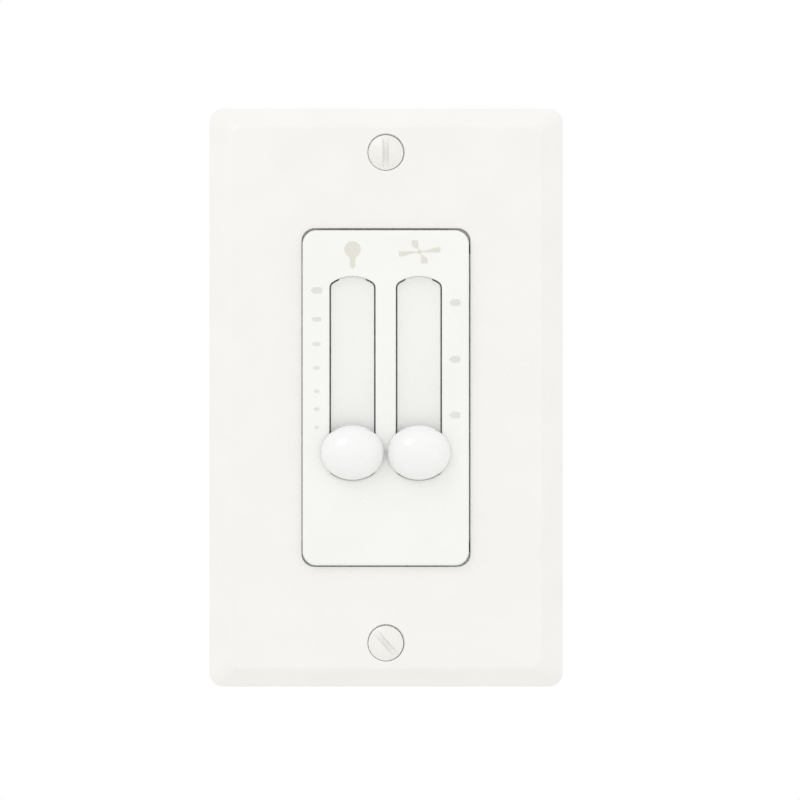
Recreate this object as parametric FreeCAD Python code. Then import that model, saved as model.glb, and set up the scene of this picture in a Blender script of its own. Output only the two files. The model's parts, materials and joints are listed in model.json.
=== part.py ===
import FreeCAD, Part
import math
import os

# Dual slide control for a single-gang wall box: one slider dims a lamp, the other
# sets the speed of a ceiling fan. A screwed-on cover plate frames the control.
#
# Frame, in millimetres: the origin is on the wall surface behind the middle of the
# cover plate. +X points right as a person faces the wall, +Y into the wall, +Z up.

V = FreeCAD.Vector
FINE = 1e-6              # closer than this counts as the same place

# ---- driving dimensions ----

# cover plate
PLATE_W = 69.85
PLATE_H = 114.3
PLATE_DEPTH = 5.6
PLATE_WALL = 2.0
PLATE_CORNER = 2.8
EDGE_LAND = 1.6          # upright part of the plate's edge, before the bevel
RIM_W = 2.1              # width of the rim that lies on the wall
BEVEL_SIDE = 4.4
BEVEL_END = 3.6
RIDGE_R = 0.9            # rounding between the plate's face and its bevel
FOOT_R = 0.25            # rounding between the bevel and the upright edge
OPENING_W = 33.3
OPENING_H = 66.8
OPENING_CORNER = 2.5
PLATE_SHIFT = (0.06, 0.075)   # the plate hangs this far off the control's middle, in X and Z
RIB_X = 26.6
RIB_Z = 36.6
BOSS_R = 3.1

# screws of the 6-32 size, which hold the plate and the control
SCREW_R = 1.75
PLATE_SCREW_Z = 96.84 / 2
PLATE_HEAD_R = 3.46
BOX_SCREW_Z = 83.34 / 2
BOX_HEAD_H = 1.4
NECK_R = 1.4             # relieved neck of a wall-box screw, under its head

# depths, front to back
FACE_Y = -PLATE_DEPTH
FRAME_Y = -7.2           # front of the control's own face
FRAME_WALL = 1.6
FRAME_BACK = FRAME_Y + FRAME_WALL
LINER_Y = -6.0           # front of the recessed slot liners
LINER_T = 1.4
YOKE_Y = -2.0            # front of the mounting yoke
YOKE_T = 1.5
YOKE_BACK = YOKE_Y + YOKE_T
SHEET_T = 0.4            # insulating sheet behind the yoke
CASE_Y = YOKE_BACK + SHEET_T
CASE_DEPTH = 6.6
BOARD_Y = 8.2
BOARD_T = 1.6
BOARD_BACK = BOARD_Y + BOARD_T
PARTS_Y = BOARD_BACK + 0.5    # front of the components on the board
HOUSING_BACK = 30.0

# control face and its slots
FRAME_W = 32.85
FRAME_H = 66.15
FRAME_CORNER = 2.8
FRAME_SIDE = 1.5         # thickness of the face's skirt
FRAME_EDGE_R = 0.6
HOOK_X = 12.8            # snap hooks that hold the face to the yoke
HOOK_Z = 25.0
HOOK_HALF = 0.8
HOOK_BITE = 0.7
HOOK_WIDTH = 3.0
HOOK_TIP = 0.7           # depth of a hook's end
SLOT_X = 6.55            # each slot's centre, left and right of the middle
SLOT_HALF = 4.55
SLOT_CORNER = 1.4
SLIT = 0.28              # gap beside the liner where the slider's arms run
BRIDGE_HALF = 2.6        # half the width over which a liner meets its slot's ends
DISH_R = 23.0            # the liner's floor is a shallow part of a cylinder
DISH_DEPTH = 0.4
LINER_PAD = (5.2, 3.2, 4.6)   # half width, start past the knob's centre, length

# knobs, clips and carriages
KNOB_W = 12.5
KNOB_H = 10.8
KNOB_WALL = 0.9
KNOB_RISE = 4.6
KNOB_SKIRT = 0.5
KNOB_Y = FRAME_Y - 0.25  # back edge of a knob
KNOB_LOW = -10.8         # knob centre at the off end
TRAVEL = 29.4
KNOB_TOP = KNOB_LOW + TRAVEL
SLOT_MID = KNOB_LOW + TRAVEL / 2
ARM_T = 0.18
ARM_X = SLOT_HALF - 0.05 - ARM_T
ARM_HALF = 1.3           # half the arm's width, along the slot
ARM_END = -3.2           # depth of the arm's end, in the carriage
BRIDGE_Y = KNOB_Y - 1.4  # front of the clip's bridge, inside the knob
STAKE_R = 0.6
CARRIAGE_Y = -4.2
CARRIAGE_T = 1.8
TONGUE = (0.6, -3.8, 2.0)     # lever's tongue: half width, front, half height

# slide controls behind the yoke
CASE_HALF_W = 4.5
CASE_HALF_H = 22.5
METAL_WALL = 0.5
PLASTIC_WALL = 0.9
TRACK_T = 0.9
TRACK_Y = CASE_Y + CASE_DEPTH - TRACK_T
SLIDE_BACK = CASE_Y + 3.6     # back of the sliding block
LEVER_ROOM = 3.2         # how far a lever's slot runs past the knob's end stops
WIPER_X = 1.8            # the dimmer's two fingers and tracks
CONTACT_X = 2.0          # the fan switch's two fingers
FINGER_T = 0.2
FAN_STOPS = (KNOB_LOW, KNOB_LOW + 7.4, KNOB_LOW + 18.4, KNOB_TOP)
LEAD = 0.6               # square component lead
PIN_END = 0.4            # how far pins from the front stand out behind the board
END_PIN = 20.5           # the end pins' distance from the slot's middle
POT_PINS = ((-WIPER_X, SLOT_MID - END_PIN), (WIPER_X, SLOT_MID - END_PIN), (0.0, SLOT_MID + END_PIN))
SWITCH_PINS = tuple((CONTACT_X, z) for z in FAN_STOPS) + ((-CONTACT_X, SLOT_MID + END_PIN),)

# yoke and housing
YOKE_HALF_W = 22.25
YOKE_HALF_H = 34.0
YOKE_END = 52.4
EAR_HALF = 11.0
WING_X = 13.6
WING_Z = 46.4
WING_R = 4.6
COLLAR_R = 2.9
GROUND_Y = 4.8
GROUND_Z = -39.0
TAB_T = 1.5
TAB_END = 9.0
TAB_HALF = 4.0
HOUSING_HALF_W = 21.5
HOUSING_HALF_H = 33.5
HOUSING_WALL = 1.8
POST_X = 17.4
POST_Z = 29.4
POST_R = 3.4
COUNTERBORE = 6.0        # how deep the housing screws' heads are sunk
VENT_XS = (-6, -3, 0, 3, 6)
VENT_HALF_W = 0.6
VENT_HALF_H = 6.0

# side terminals: (side, height)
TERMINALS = ((1, 15.0), (1, -15.0), (-1, 0.0))
TERMINAL_Y = 18.0
TERMINAL_T = 0.9         # thickness of a terminal's plate and of its clamp
TERMINAL_SCREW_R = 2.0
POCKET_HALF = 5.4
POCKET_FLOOR = 17.2      # x of the pocket's floor
POCKET_LINING = 1.4
SCREW_GROOVE = 1.1       # width of the side screws' slots

# on the circuit board
TRIAC_X = -4.9           # where the triac's body meets its tab
TRIAC_Z = -25.5
TRIAC_BODY = 9.1
TRIAC_TAB = 6.6
TRIAC_HOLE = TRIAC_X - 3.8
TRIAC_HALF = 5.0
TRIAC_H = 4.4
TRIAC_PITCH = 2.54
MICA_T = 0.1
CHOKE = (-5.6, 17.6)
CHOKE_R = 9.0
CHOKE_EYE = 4.4
CHOKE_H = 8.0
WINDING_SIDE = 1.4       # thickness of the turns outside and inside the ring
WINDING_END = 1.6        # and on its two flat faces
CHOKE_LEAD = 0.9
TRIMMER = (-10.0, -24.4)
TRIMMER_HALF = 3.2
TRIMMER_LEADS = ((-2, -1.8), (2, -1.8), (0, 1.8))

# capacitor boxes: x from and to, z from and to, height
NOISE_CAPACITOR = (-14.2, -5.4, -19.6, -8.4, 11.0)
FAN_CAPACITOR_LOW = (6.2, 13.8, 6.0, 26.0, 15.0)
FAN_CAPACITOR_MEDIUM = (6.2, 13.8, -22.0, -6.0, 13.0)
TIMING_CAPACITORS = ((-3.6, 1.4, -11.6, -8.4, 7.0), (-3.6, 1.4, -16.6, -13.4, 7.0))

# axial parts: x, length, radius
RESISTORS = ((-8.6, 6.4, 1.15), (-4.6, 6.4, 1.15), (-0.6, 6.4, 1.15), (3.4, 6.4, 1.15))
DIAC = (-12.2, 4.2, 0.9)
THERMAL_FUSE = (10.4, 8.0, 1.6)


# ---- plain shapes ----

def block(x0, x1, y0, y1, z0, z1):
    """Box between two opposite corners; each pair of limits may come in either order."""
    low = V(min(x0, x1), min(y0, y1), min(z0, z1))
    return Part.makeBox(abs(x1 - x0), abs(y1 - y0), abs(z1 - z0), low)


def rod_x(y, z, r, x0, x1):
    """Cylinder along X between two places, in either order."""
    return Part.makeCylinder(r, abs(x1 - x0), V(min(x0, x1), y, z), V(1, 0, 0))


def rod_y(x, z, r, y0, y1):
    return Part.makeCylinder(r, y1 - y0, V(x, y0, z), V(0, 1, 0))


def cone_y(x, z, r0, r1, y0, y1):
    return Part.makeCone(r0, r1, y1 - y0, V(x, y0, z), V(0, 1, 0))


def turned(points, x=0, z=0):
    """Solid of revolution about the Y direction through (x, z); points are (radius, y)."""
    wire = Part.makePolygon([V(r, y, 0) for r, y in points + points[:1]])
    return Part.Face(wire).revolve(V(0, 0, 0), V(0, 1, 0), 360).translated(V(x, 0, z))


def rounded_wire(half_w, half_h, r, y):
    """Rounded rectangle facing the Y direction, centred on the origin."""
    arcs = []
    for quarter in range(4):
        start = quarter * math.pi / 2
        cx = (half_w - r) * (1 if quarter in (0, 3) else -1)
        cz = (half_h - r) * (1 if quarter in (0, 1) else -1)
        arcs.append([V(cx + r * math.cos(start + t), y, cz + r * math.sin(start + t))
                     for t in (0, math.pi / 4, math.pi / 2)])
    edges = []
    for arc, following in zip(arcs, arcs[1:] + arcs[:1]):
        edges.append(Part.Arc(*arc).toShape())
        edges.append(Part.makeLine(arc[-1], following[0]))
    return Part.Wire(edges)


def pad(half_w, half_h, r, y0, y1):
    """Rounded rectangular slab from y0 to y1."""
    return Part.Face(rounded_wire(half_w, half_h, r, y0)).extrude(V(0, y1 - y0, 0))


def taper(half_w, half_h, r, y0, half_w1, half_h1, r1, y1):
    """Rounded rectangular block whose outline changes evenly from y0 to y1."""
    wires = [rounded_wire(half_w, half_h, r, y0), rounded_wire(half_w1, half_h1, r1, y1)]
    return Part.makeLoft(wires, True, True)


def fuse(shapes):
    shapes = list(shapes)
    return shapes[0].multiFuse(shapes[1:]).removeSplitter()


def cut(shape, tools):
    return shape.cut(list(tools))


def edges_at(shape, y):
    """The edges of a shape that lie in the plane at one depth."""
    return [e for e in shape.Edges if abs(e.BoundBox.YMin - y) < FINE and abs(e.BoundBox.YMax - y) < FINE]


def corners(x, z):
    return [(sx * x, sz * z) for sx in (-1, 1) for sz in (-1, 1)]


def slot_solid(y0, y1, inset=0.0):
    """Slot whose ends follow the knob's outline, or the same slot pulled in all round."""
    half = SLOT_HALF - inset
    a, b = KNOB_W / 2 + 0.15 - inset, KNOB_H / 2 - inset
    t0 = math.acos(half / a)
    ends = []
    for z, start in ((KNOB_TOP, t0), (KNOB_LOW, math.pi + t0)):
        centre = V(0, y0, z)
        oval = Part.Ellipse(centre + V(a, 0, 0), centre + V(0, 0, b), centre)
        stop = start + math.pi - 2 * t0
        ends.append(Part.ArcOfEllipse(oval, start, stop).toShape())
    top, low = ends
    left = Part.makeLine(top.Vertexes[1].Point, low.Vertexes[0].Point)
    right = Part.makeLine(low.Vertexes[1].Point, top.Vertexes[0].Point)
    solid = Part.Face(Part.Wire([top, left, low, right])).extrude(V(0, y1 - y0, 0))
    along_y = [e for e in solid.Edges if e.BoundBox.XLength < FINE and e.BoundBox.ZLength < FINE]
    return solid.makeFillet(SLOT_CORNER - inset, along_y)


def at_slots(shape):
    """The same shape at the left slot and at the right slot."""
    return shape.translated(V(-SLOT_X, 0, 0)), shape.translated(V(SLOT_X, 0, 0))


# ---- cover plate and its screws ----

def wall_plate():
    """Hollow moulded plate: flat face, bevelled border, opening, screw bosses, ribs."""
    half_w, half_h = PLATE_W / 2, PLATE_H / 2
    face_w, face_h = half_w - BEVEL_SIDE, half_h - BEVEL_END
    inner_y = FACE_Y + PLATE_WALL
    land = pad(half_w, half_h, PLATE_CORNER, -EDGE_LAND, 0)
    bevel = taper(half_w, half_h, PLATE_CORNER, -EDGE_LAND, face_w, face_h, PLATE_CORNER - 1, FACE_Y)
    outer = fuse([land, bevel])
    outer = outer.makeFillet(RIDGE_R, edges_at(outer, FACE_Y))
    outer = outer.makeFillet(FOOT_R, edges_at(outer, -EDGE_LAND))
    inner_corner = PLATE_CORNER / 2
    inner_land = pad(half_w - RIM_W, half_h - RIM_W, inner_corner, -EDGE_LAND, 1)
    inner_bevel = taper(half_w - RIM_W, half_h - RIM_W, inner_corner, -EDGE_LAND,
                        face_w, face_h, 1.0, inner_y)
    shell = cut(outer, [inner_land, inner_bevel])
    root = inner_y - 0.2
    ribs = [block(s * RIB_X - 0.6, s * RIB_X + 0.6, root, -1.8, -47, 47) for s in (-1, 1)]
    ribs += [block(-26, 26, root, -2.6, s * RIB_Z - 0.5, s * RIB_Z + 0.5) for s in (-1, 1)]
    bosses = [rod_y(0, s * PLATE_SCREW_Z, BOSS_R, root, YOKE_Y) for s in (-1, 1)]
    body = fuse([shell] + ribs + bosses)
    openings = [pad(OPENING_W / 2, OPENING_H / 2, OPENING_CORNER, FACE_Y - 1, 0)]
    for s in (-1, 1):
        openings.append(rod_y(0, s * PLATE_SCREW_Z, SCREW_R + 0.25, FACE_Y - 1, 0))
        openings.append(cone_y(0, s * PLATE_SCREW_Z, PLATE_HEAD_R + 0.2, SCREW_R + 0.1, FACE_Y, FACE_Y + 2.2))
    return cut(body, openings).translated(V(PLATE_SHIFT[0], 0, PLATE_SHIFT[1]))


def plate_screws():
    """Slotted oval-head screws, 6-32 by 1/2 inch, enamelled to match the plate."""
    screws = []
    head = FACE_Y + 0.1
    for s, turn in ((1, 0), (-1, -42)):
        z = s * PLATE_SCREW_Z
        profile = [(0, head - 0.95), (1.2, head - 0.88), (2.3, head - 0.62), (3.1, head - 0.28),
                   (PLATE_HEAD_R, head), (SCREW_R, head + 2.0), (SCREW_R, head + 12.0),
                   (SCREW_R - 0.5, head + 12.6), (0, head + 12.6)]
        slot = block(-0.6, 0.6, head - 2, head + 0.35, -4, 4)
        slot.rotate(V(0, 0, 0), V(0, 1, 0), turn)
        screws.append(cut(turned(profile, 0, z), [slot.translated(V(0, 0, z))]))
    return Part.makeCompound(screws)


# ---- control face ----

def snap_hook(x, z):
    """Leg and outward barb of one hook, caught behind the yoke."""
    side = math.copysign(1, x)
    low = z - HOOK_WIDTH / 2
    edge = x + side * HOOK_HALF
    leg = block(x - HOOK_HALF, x + HOOK_HALF, FRAME_BACK, HOOK_TIP, low, low + HOOK_WIDTH)
    triangle = [V(edge, YOKE_BACK, low), V(edge + side * HOOK_BITE, YOKE_BACK, low), V(edge, HOOK_TIP, low)]
    barb = Part.Face(Part.makePolygon(triangle + triangle[:1])).extrude(V(0, 0, HOOK_WIDTH))
    return [leg, barb]


def face_frame():
    """Moulded control face: hollow, two slots, flanges and four snap hooks to the yoke."""
    outer = pad(FRAME_W / 2, FRAME_H / 2, FRAME_CORNER, FRAME_Y, YOKE_Y)
    outer = outer.makeFillet(FRAME_EDGE_R, edges_at(outer, FRAME_Y))
    hollow = pad(FRAME_W / 2 - FRAME_SIDE, FRAME_H / 2 - FRAME_SIDE, 1.2, FRAME_BACK, YOKE_Y + 1)
    flanges = [block(-14, 14, YOKE_Y - 1.2, YOKE_Y, s * 32.2, s * 35.4) for s in (-1, 1)]
    shell = cut(fuse([outer] + flanges), [hollow])
    hooks = [solid for x, z in corners(HOOK_X, HOOK_Z) for solid in snap_hook(x, z)]
    return cut(fuse([shell] + hooks), at_slots(slot_solid(FRAME_Y - 1, FRAME_BACK + 0.1)))


def slot_liner():
    """Dished strip that closes the slot but for a slit each side, with a pad at each end."""
    liner_back = LINER_Y + LINER_T
    strip = slot_solid(LINER_Y, liner_back, SLIT)
    ends = block(-BRIDGE_HALF, BRIDGE_HALF, LINER_Y, FRAME_BACK, KNOB_LOW - 8, KNOB_TOP + 8)
    strip = fuse([strip, ends.common(slot_solid(LINER_Y, FRAME_BACK))])
    axis_y = LINER_Y - DISH_R + DISH_DEPTH
    dish = Part.makeCylinder(DISH_R, TRAVEL + 4, V(0, axis_y, KNOB_LOW - 2), V(0, 0, 1))
    half, start, length = LINER_PAD
    pads = [block(-half, half, FRAME_BACK, liner_back, z + s * start, z + s * (start + length))
            for s, z in ((1, KNOB_TOP), (-1, KNOB_LOW))]
    return cut(fuse([strip] + pads), [dish])


def half_oval(radius, base, rise):
    """Round dome about Y squeezed in Z to the knob's oval: widest at base, rising towards -Y."""
    centre, tip = V(0, base, 0), V(0, base - rise, 0)
    oval = Part.Ellipse(centre + V(radius, 0, 0), centre + V(0, -rise, 0), centre)
    arc = Part.ArcOfEllipse(oval, 0, math.pi / 2).toShape()
    wire = Part.Wire([Part.makeLine(centre, centre + V(radius, 0, 0)), arc, Part.makeLine(tip, centre)])
    squeeze = FreeCAD.Matrix()
    squeeze.scale(V(1, 1, KNOB_H / KNOB_W))
    return Part.Face(wire).revolve(V(0, 0, 0), V(0, 1, 0), 360).transformGeometry(squeeze)


def slider_knob():
    """Thin-walled oval dome with a boss and a stake that hold the clip."""
    base = KNOB_Y - KNOB_SKIRT
    shell = half_oval(KNOB_W / 2, base, KNOB_RISE)
    oval = Part.Ellipse(V(KNOB_W / 2, base, 0), V(0, base, KNOB_H / 2), V(0, base, 0))
    skirt = Part.Face(Part.Wire([oval.toShape()])).extrude(V(0, KNOB_SKIRT, 0))
    hollow = half_oval(KNOB_W / 2 - KNOB_WALL, KNOB_Y, KNOB_RISE - KNOB_WALL)
    boss = block(-2.4, 2.4, KNOB_Y - 3.6, BRIDGE_Y, -ARM_HALF, ARM_HALF)
    stake = rod_y(0, 0, STAKE_R, BRIDGE_Y - 0.1, BRIDGE_Y + 0.5)
    knob = fuse([cut(fuse([shell, skirt]), [hollow]), boss.common(hollow), stake])
    return knob.translated(V(0, 0, KNOB_LOW))


def clip_arm(side, front):
    """One arm of the clip, from the given depth back into the carriage."""
    return block(side * ARM_X, side * (ARM_X + ARM_T), front, ARM_END, -ARM_HALF, ARM_HALF)


def slider_clip():
    """Bent spring-steel strip: a bridge under the knob and an arm through each slit."""
    half = ARM_X + ARM_T
    bridge = block(-half, half, BRIDGE_Y, BRIDGE_Y + ARM_T, -ARM_HALF, ARM_HALF)
    hole = rod_y(0, 0, STAKE_R, BRIDGE_Y - 1, BRIDGE_Y + 1)
    arms = [clip_arm(s, BRIDGE_Y) for s in (-1, 1)]
    return cut(fuse([bridge] + arms), [hole]).translated(V(0, 0, KNOB_LOW))


def slider_carriage():
    """Nylon block behind the liner that joins the clip's arms to the control's lever."""
    back = CARRIAGE_Y + CARRIAGE_T
    body = block(-5.2, 5.2, CARRIAGE_Y, back, -3.2, 3.2)
    slits = [clip_arm(s, CARRIAGE_Y - 0.1) for s in (-1, 1)]
    half, front, reach = TONGUE
    socket = block(-half, half, front, back + 0.1, -reach, reach)
    return cut(body, slits + [socket]).translated(V(0, 0, KNOB_LOW))


# ---- controls behind the yoke ----

def control_case(wall):
    """Long narrow box, open at the back, with a slot in front for the lever."""
    low, high = SLOT_MID - CASE_HALF_H, SLOT_MID + CASE_HALF_H
    back = CASE_Y + CASE_DEPTH
    inside = CASE_HALF_W - wall
    outer = block(-CASE_HALF_W, CASE_HALF_W, CASE_Y, back, low, high)
    inner = block(-inside, inside, CASE_Y + wall, back + 1, low + wall, high - wall)
    slot = block(-1, 1, CASE_Y - 1, CASE_Y + wall + 1, KNOB_LOW - LEVER_ROOM, KNOB_TOP + LEVER_ROOM)
    return cut(outer, [inner, slot])


def track_board(wall, holes):
    """Laminate strip that closes the case and carries the tracks or contacts."""
    reach = CASE_HALF_H - wall
    inside = CASE_HALF_W - wall
    strip = block(-inside, inside, TRACK_Y, TRACK_Y + TRACK_T, SLOT_MID - reach, SLOT_MID + reach)
    return cut(strip, holes)


def control_lever(wall):
    """Lever tongue and the block that slides inside the case."""
    half, front, reach = TONGUE
    inside = CASE_HALF_W - wall - 0.1
    tongue = block(-half, half, front, CASE_Y + wall + 1.0, -reach, reach)
    slide = block(-inside, inside, CASE_Y + wall + 0.1, SLIDE_BACK, -4.2, 4.2)
    return fuse([tongue, slide]).translated(V(0, 0, KNOB_LOW))


def square_lead(x, z, y0, y1, size=LEAD):
    return block(x - size / 2, x + size / 2, y0, y1, z - size / 2, z + size / 2)


def pins(places, y0, y1):
    return [square_lead(x, z, y0, y1) for x, z in places]


def finger(x, y_track):
    """Cranked contact finger from the sliding block to a track."""
    x0, root, tip = x - 0.5, 1.6, 3.6
    foot = block(x0, x0 + 1, SLIDE_BACK, SLIDE_BACK + FINGER_T, -3.6, root)
    crank = [V(x0, SLIDE_BACK, root), V(x0, SLIDE_BACK + FINGER_T, root), V(x0, y_track, tip),
             V(x0, y_track - FINGER_T, tip)]
    leg = Part.Face(Part.makePolygon(crank + crank[:1])).extrude(V(1, 0, 0))
    return fuse([foot, leg])


def contact_pair(x, y_track):
    """Two fingers joined by a tie across the sliding block."""
    tie = block(-2.3, 2.3, SLIDE_BACK, SLIDE_BACK + FINGER_T, -3.6, -2.4)
    return fuse([finger(-x, y_track), finger(x, y_track), tie]).translated(V(0, 0, KNOB_LOW))


def dimmer_tracks():
    """Two printed carbon tracks."""
    reach = 18.5
    low, high = SLOT_MID - reach, SLOT_MID + reach
    return Part.makeCompound([block(x - 0.7, x + 0.7, TRACK_Y - 0.06, TRACK_Y, low, high)
                              for x in (-WIPER_X, WIPER_X)])


def fan_contacts():
    """Common rail and one stud for each of the four speeds."""
    front = TRACK_Y - 0.3
    rail = block(-CONTACT_X - 0.5, -CONTACT_X + 0.5, front, TRACK_Y, KNOB_LOW - 4, KNOB_TOP + 5.5)
    studs = [rod_y(CONTACT_X, z + 3.2, 0.9, front, TRACK_Y) for z in FAN_STOPS]
    return Part.makeCompound([rail] + studs)


# ---- yoke, sheet, housing ----

def hook_holes(outward, height, y0, y1):
    """Windows for the face's hooks, reaching further on the barbs' side."""
    holes = []
    for x, z in corners(HOOK_X - 0.05, HOOK_Z):
        side = math.copysign(1, x)
        holes.append(block(x - side * 0.95, x + side * max(outward, 0.95), y0, y1,
                           z - height / 2, z + height / 2))
    return holes


def lever_slots(y0, y1):
    half = 2 * TONGUE[0]
    return [block(x - half, x + half, y0, y1, KNOB_LOW - LEVER_ROOM, KNOB_TOP + LEVER_ROOM)
            for x in (-SLOT_X, SLOT_X)]


def mounting_yoke():
    """Aluminium strap and heat sink: ears for the wall box, break-off wings, ground tab."""
    front, behind = YOKE_Y - 1, YOKE_BACK + 0.5
    solids = [pad(YOKE_HALF_W, YOKE_HALF_H, 1.5, YOKE_Y, YOKE_BACK),
              pad(EAR_HALF, YOKE_END, 2.5, YOKE_Y, YOKE_BACK),
              block(EAR_HALF - TAB_T, EAR_HALF, YOKE_Y + 0.1, TAB_END,
                    GROUND_Z - TAB_HALF, GROUND_Z + TAB_HALF)]
    holes = [rod_x(GROUND_Y, GROUND_Z, 1.93, EAR_HALF - 3, EAR_HALF + 3)]
    ear_slot = 1.5
    for s in (-1, 1):
        z = s * BOX_SCREW_Z
        solids += [rod_y(x, s * WING_Z, WING_R, YOKE_Y, YOKE_BACK) for x in (-WING_X, WING_X)]
        solids.append(rod_y(0, s * PLATE_SCREW_Z, COLLAR_R, YOKE_BACK - 0.1, YOKE_BACK + 1.8))
        holes.append(rod_y(0, s * PLATE_SCREW_Z, SCREW_R + 0.03, front, 5))
        holes.append(block(-ear_slot, ear_slot, front, behind, z - 2.1, z + 2.1))
        holes += [rod_y(x, z, 2.1, front, behind) for x in (-ear_slot, ear_slot)]
    holes += [rod_y(x, z, 1.3, front, 2) for x, z in corners(POST_X, POST_Z)]
    holes.append(rod_y(TRIAC_HOLE, TRIAC_Z, 1.5, front, 2))
    holes += hook_holes(0.95, 3.1, front, 2) + lever_slots(front, 2)
    return cut(fuse(solids), holes)


def insulating_sheet():
    """Vulcanised fibre sheet between the yoke and the live parts, with a triac window."""
    front = YOKE_BACK - 1
    sheet = pad(HOUSING_HALF_W - 0.2, HOUSING_HALF_H - 0.2, 1.3, YOKE_BACK, CASE_Y)
    window = block(TRIAC_X - 7.0, TRIAC_X + 9.5, front, 1, TRIAC_Z - 5.4, TRIAC_Z + 5.4)
    posts = [rod_y(x, z, 1.6, front, 1) for x, z in corners(POST_X, POST_Z)]
    return cut(sheet, [window] + posts + hook_holes(1.7, 3.6, front, 1) + lever_slots(front, 1))


def pocket_space(side, z, grow=0.0):
    """Space for one terminal in the housing's side wall."""
    half = POCKET_HALF + grow
    return block(side * (POCKET_FLOOR - grow), side * (HOUSING_HALF_W + 1 - grow * 0.7),
                 TERMINAL_Y - half, TERMINAL_Y + half, z - half, z + half)


def back_housing():
    """Moulded tub behind the yoke: four screw posts, terminal pockets, vent slits."""
    outer = pad(HOUSING_HALF_W, HOUSING_HALF_H, 1.5, CASE_Y, HOUSING_BACK)
    outer = outer.makeFillet(1.0, edges_at(outer, HOUSING_BACK))
    inner = pad(HOUSING_HALF_W - HOUSING_WALL, HOUSING_HALF_H - HOUSING_WALL, 0.8, CASE_Y - 1,
                HOUSING_BACK - HOUSING_WALL)
    posts = [rod_y(x, z, POST_R, CASE_Y, HOUSING_BACK - 1).common(outer) for x, z in corners(POST_X, POST_Z)]
    linings = [pocket_space(side, z, POCKET_LINING).common(outer) for side, z in TERMINALS]
    tub = fuse([cut(outer, [inner])] + posts + linings)
    spaces = []
    for side, z in TERMINALS:
        spaces.append(pocket_space(side, z))
        spaces.append(rod_x(TERMINAL_Y, z, TERMINAL_SCREW_R + 0.1, side * 14, side * 19))
        spaces.append(terminal_tail(side, z))
    for x, z in corners(POST_X, POST_Z):
        spaces.append(rod_y(x, z, 1.45, CASE_Y - 1, HOUSING_BACK + 1))
        spaces.append(rod_y(x, z, 2.7, HOUSING_BACK - COUNTERBORE, HOUSING_BACK + 1))
    vents = [block(x - VENT_HALF_W, x + VENT_HALF_W, HOUSING_BACK - 3, HOUSING_BACK + 1,
                   -VENT_HALF_H, VENT_HALF_H) for x in VENT_XS]
    return cut(tub, spaces + vents)


def housing_screws():
    """Pan-head thread-forming screws, in from the back, that pull the housing to the yoke."""
    head = HOUSING_BACK - COUNTERBORE
    shank_r, head_r, recess, arm = 1.27, 2.4, 0.35, 1.4
    screws = []
    for x, z in corners(POST_X, POST_Z):
        profile = [(0, YOKE_Y), (1.0, YOKE_Y), (shank_r, YOKE_Y + 0.4), (shank_r, head), (head_r, head),
                   (head_r, head + 1.0), (1.8, head + 1.6), (0, head + 1.75)]
        cross = [block(x - recess, x + recess, head + 0.6, head + 3, z - arm, z + arm),
                 block(x - arm, x + arm, head + 0.6, head + 3, z - recess, z + recess)]
        screws.append(cut(turned(profile, x, z), cross))
    return Part.makeCompound(screws)


# ---- terminals ----

def terminal_tail(side, z):
    """Flat tongue of a terminal plate, forward through the pocket wall to the board."""
    return block(side * POCKET_FLOOR, side * (POCKET_FLOOR + TERMINAL_T), BOARD_Y - 1.2,
                 TERMINAL_Y - POCKET_HALF + 0.4, z - 1.5, z + 1.5)


def terminal_plates():
    """Brass plates on the pocket floors, tapped for the screws, each with its tail."""
    plates = []
    for side, z in TERMINALS:
        flat = block(side * POCKET_FLOOR, side * (POCKET_FLOOR + TERMINAL_T),
                     TERMINAL_Y - 5.0, TERMINAL_Y + 5.0, z - 4.6, z + 4.6)
        hole = rod_x(TERMINAL_Y, z, TERMINAL_SCREW_R + 0.03, side * 14, side * 19)
        plates.append(cut(fuse([flat, terminal_tail(side, z)]), [hole]))
    return Part.makeCompound(plates)


def terminal_clamps():
    """Square pressure washers under the terminal screws."""
    inner = POCKET_FLOOR + TERMINAL_T
    clamps = []
    for side, z in TERMINALS:
        flat = block(side * inner, side * (inner + TERMINAL_T),
                     TERMINAL_Y - 4.4, TERMINAL_Y + 4.4, z - 4.2, z + 4.2)
        hole = rod_x(TERMINAL_Y, z, TERMINAL_SCREW_R + 0.15, side * 14, side * 20)
        clamps.append(cut(flat, [hole]))
    return Part.makeCompound(clamps)


def side_screw(side, y, z, seat, head_r, head_h, shank_r, length):
    """Slotted screw pointing inward along X; seat is the distance of its head's underside."""
    top = seat + head_h
    head = rod_x(y, z, head_r, side * seat, side * top)
    rim = [e for e in head.Edges
           if abs(abs(e.BoundBox.XMin) - top) < FINE and abs(abs(e.BoundBox.XMax) - top) < FINE]
    head = head.makeFillet(0.4, rim)
    shank = rod_x(y, z, shank_r, side * (seat - length), side * seat)
    half = SCREW_GROOVE / 2
    groove = block(side * (top - 0.9), side * (top + 1), y - half, y + half, z - 6, z + 6)
    groove.rotate(V(0, y, z), V(1, 0, 0), 28 * side)
    return cut(fuse([head, shank]), [groove])


def terminal_screws():
    seat = POCKET_FLOOR + 2 * TERMINAL_T
    return Part.makeCompound([side_screw(side, TERMINAL_Y, z, seat, 3.7, 2.0, TERMINAL_SCREW_R, 4.0)
                              for side, z in TERMINALS])


def ground_screw():
    return side_screw(1, GROUND_Y, GROUND_Z, EAR_HALF, 3.6, 2.2, 1.9, 6.0)


# ---- wall-box screws ----

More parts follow.
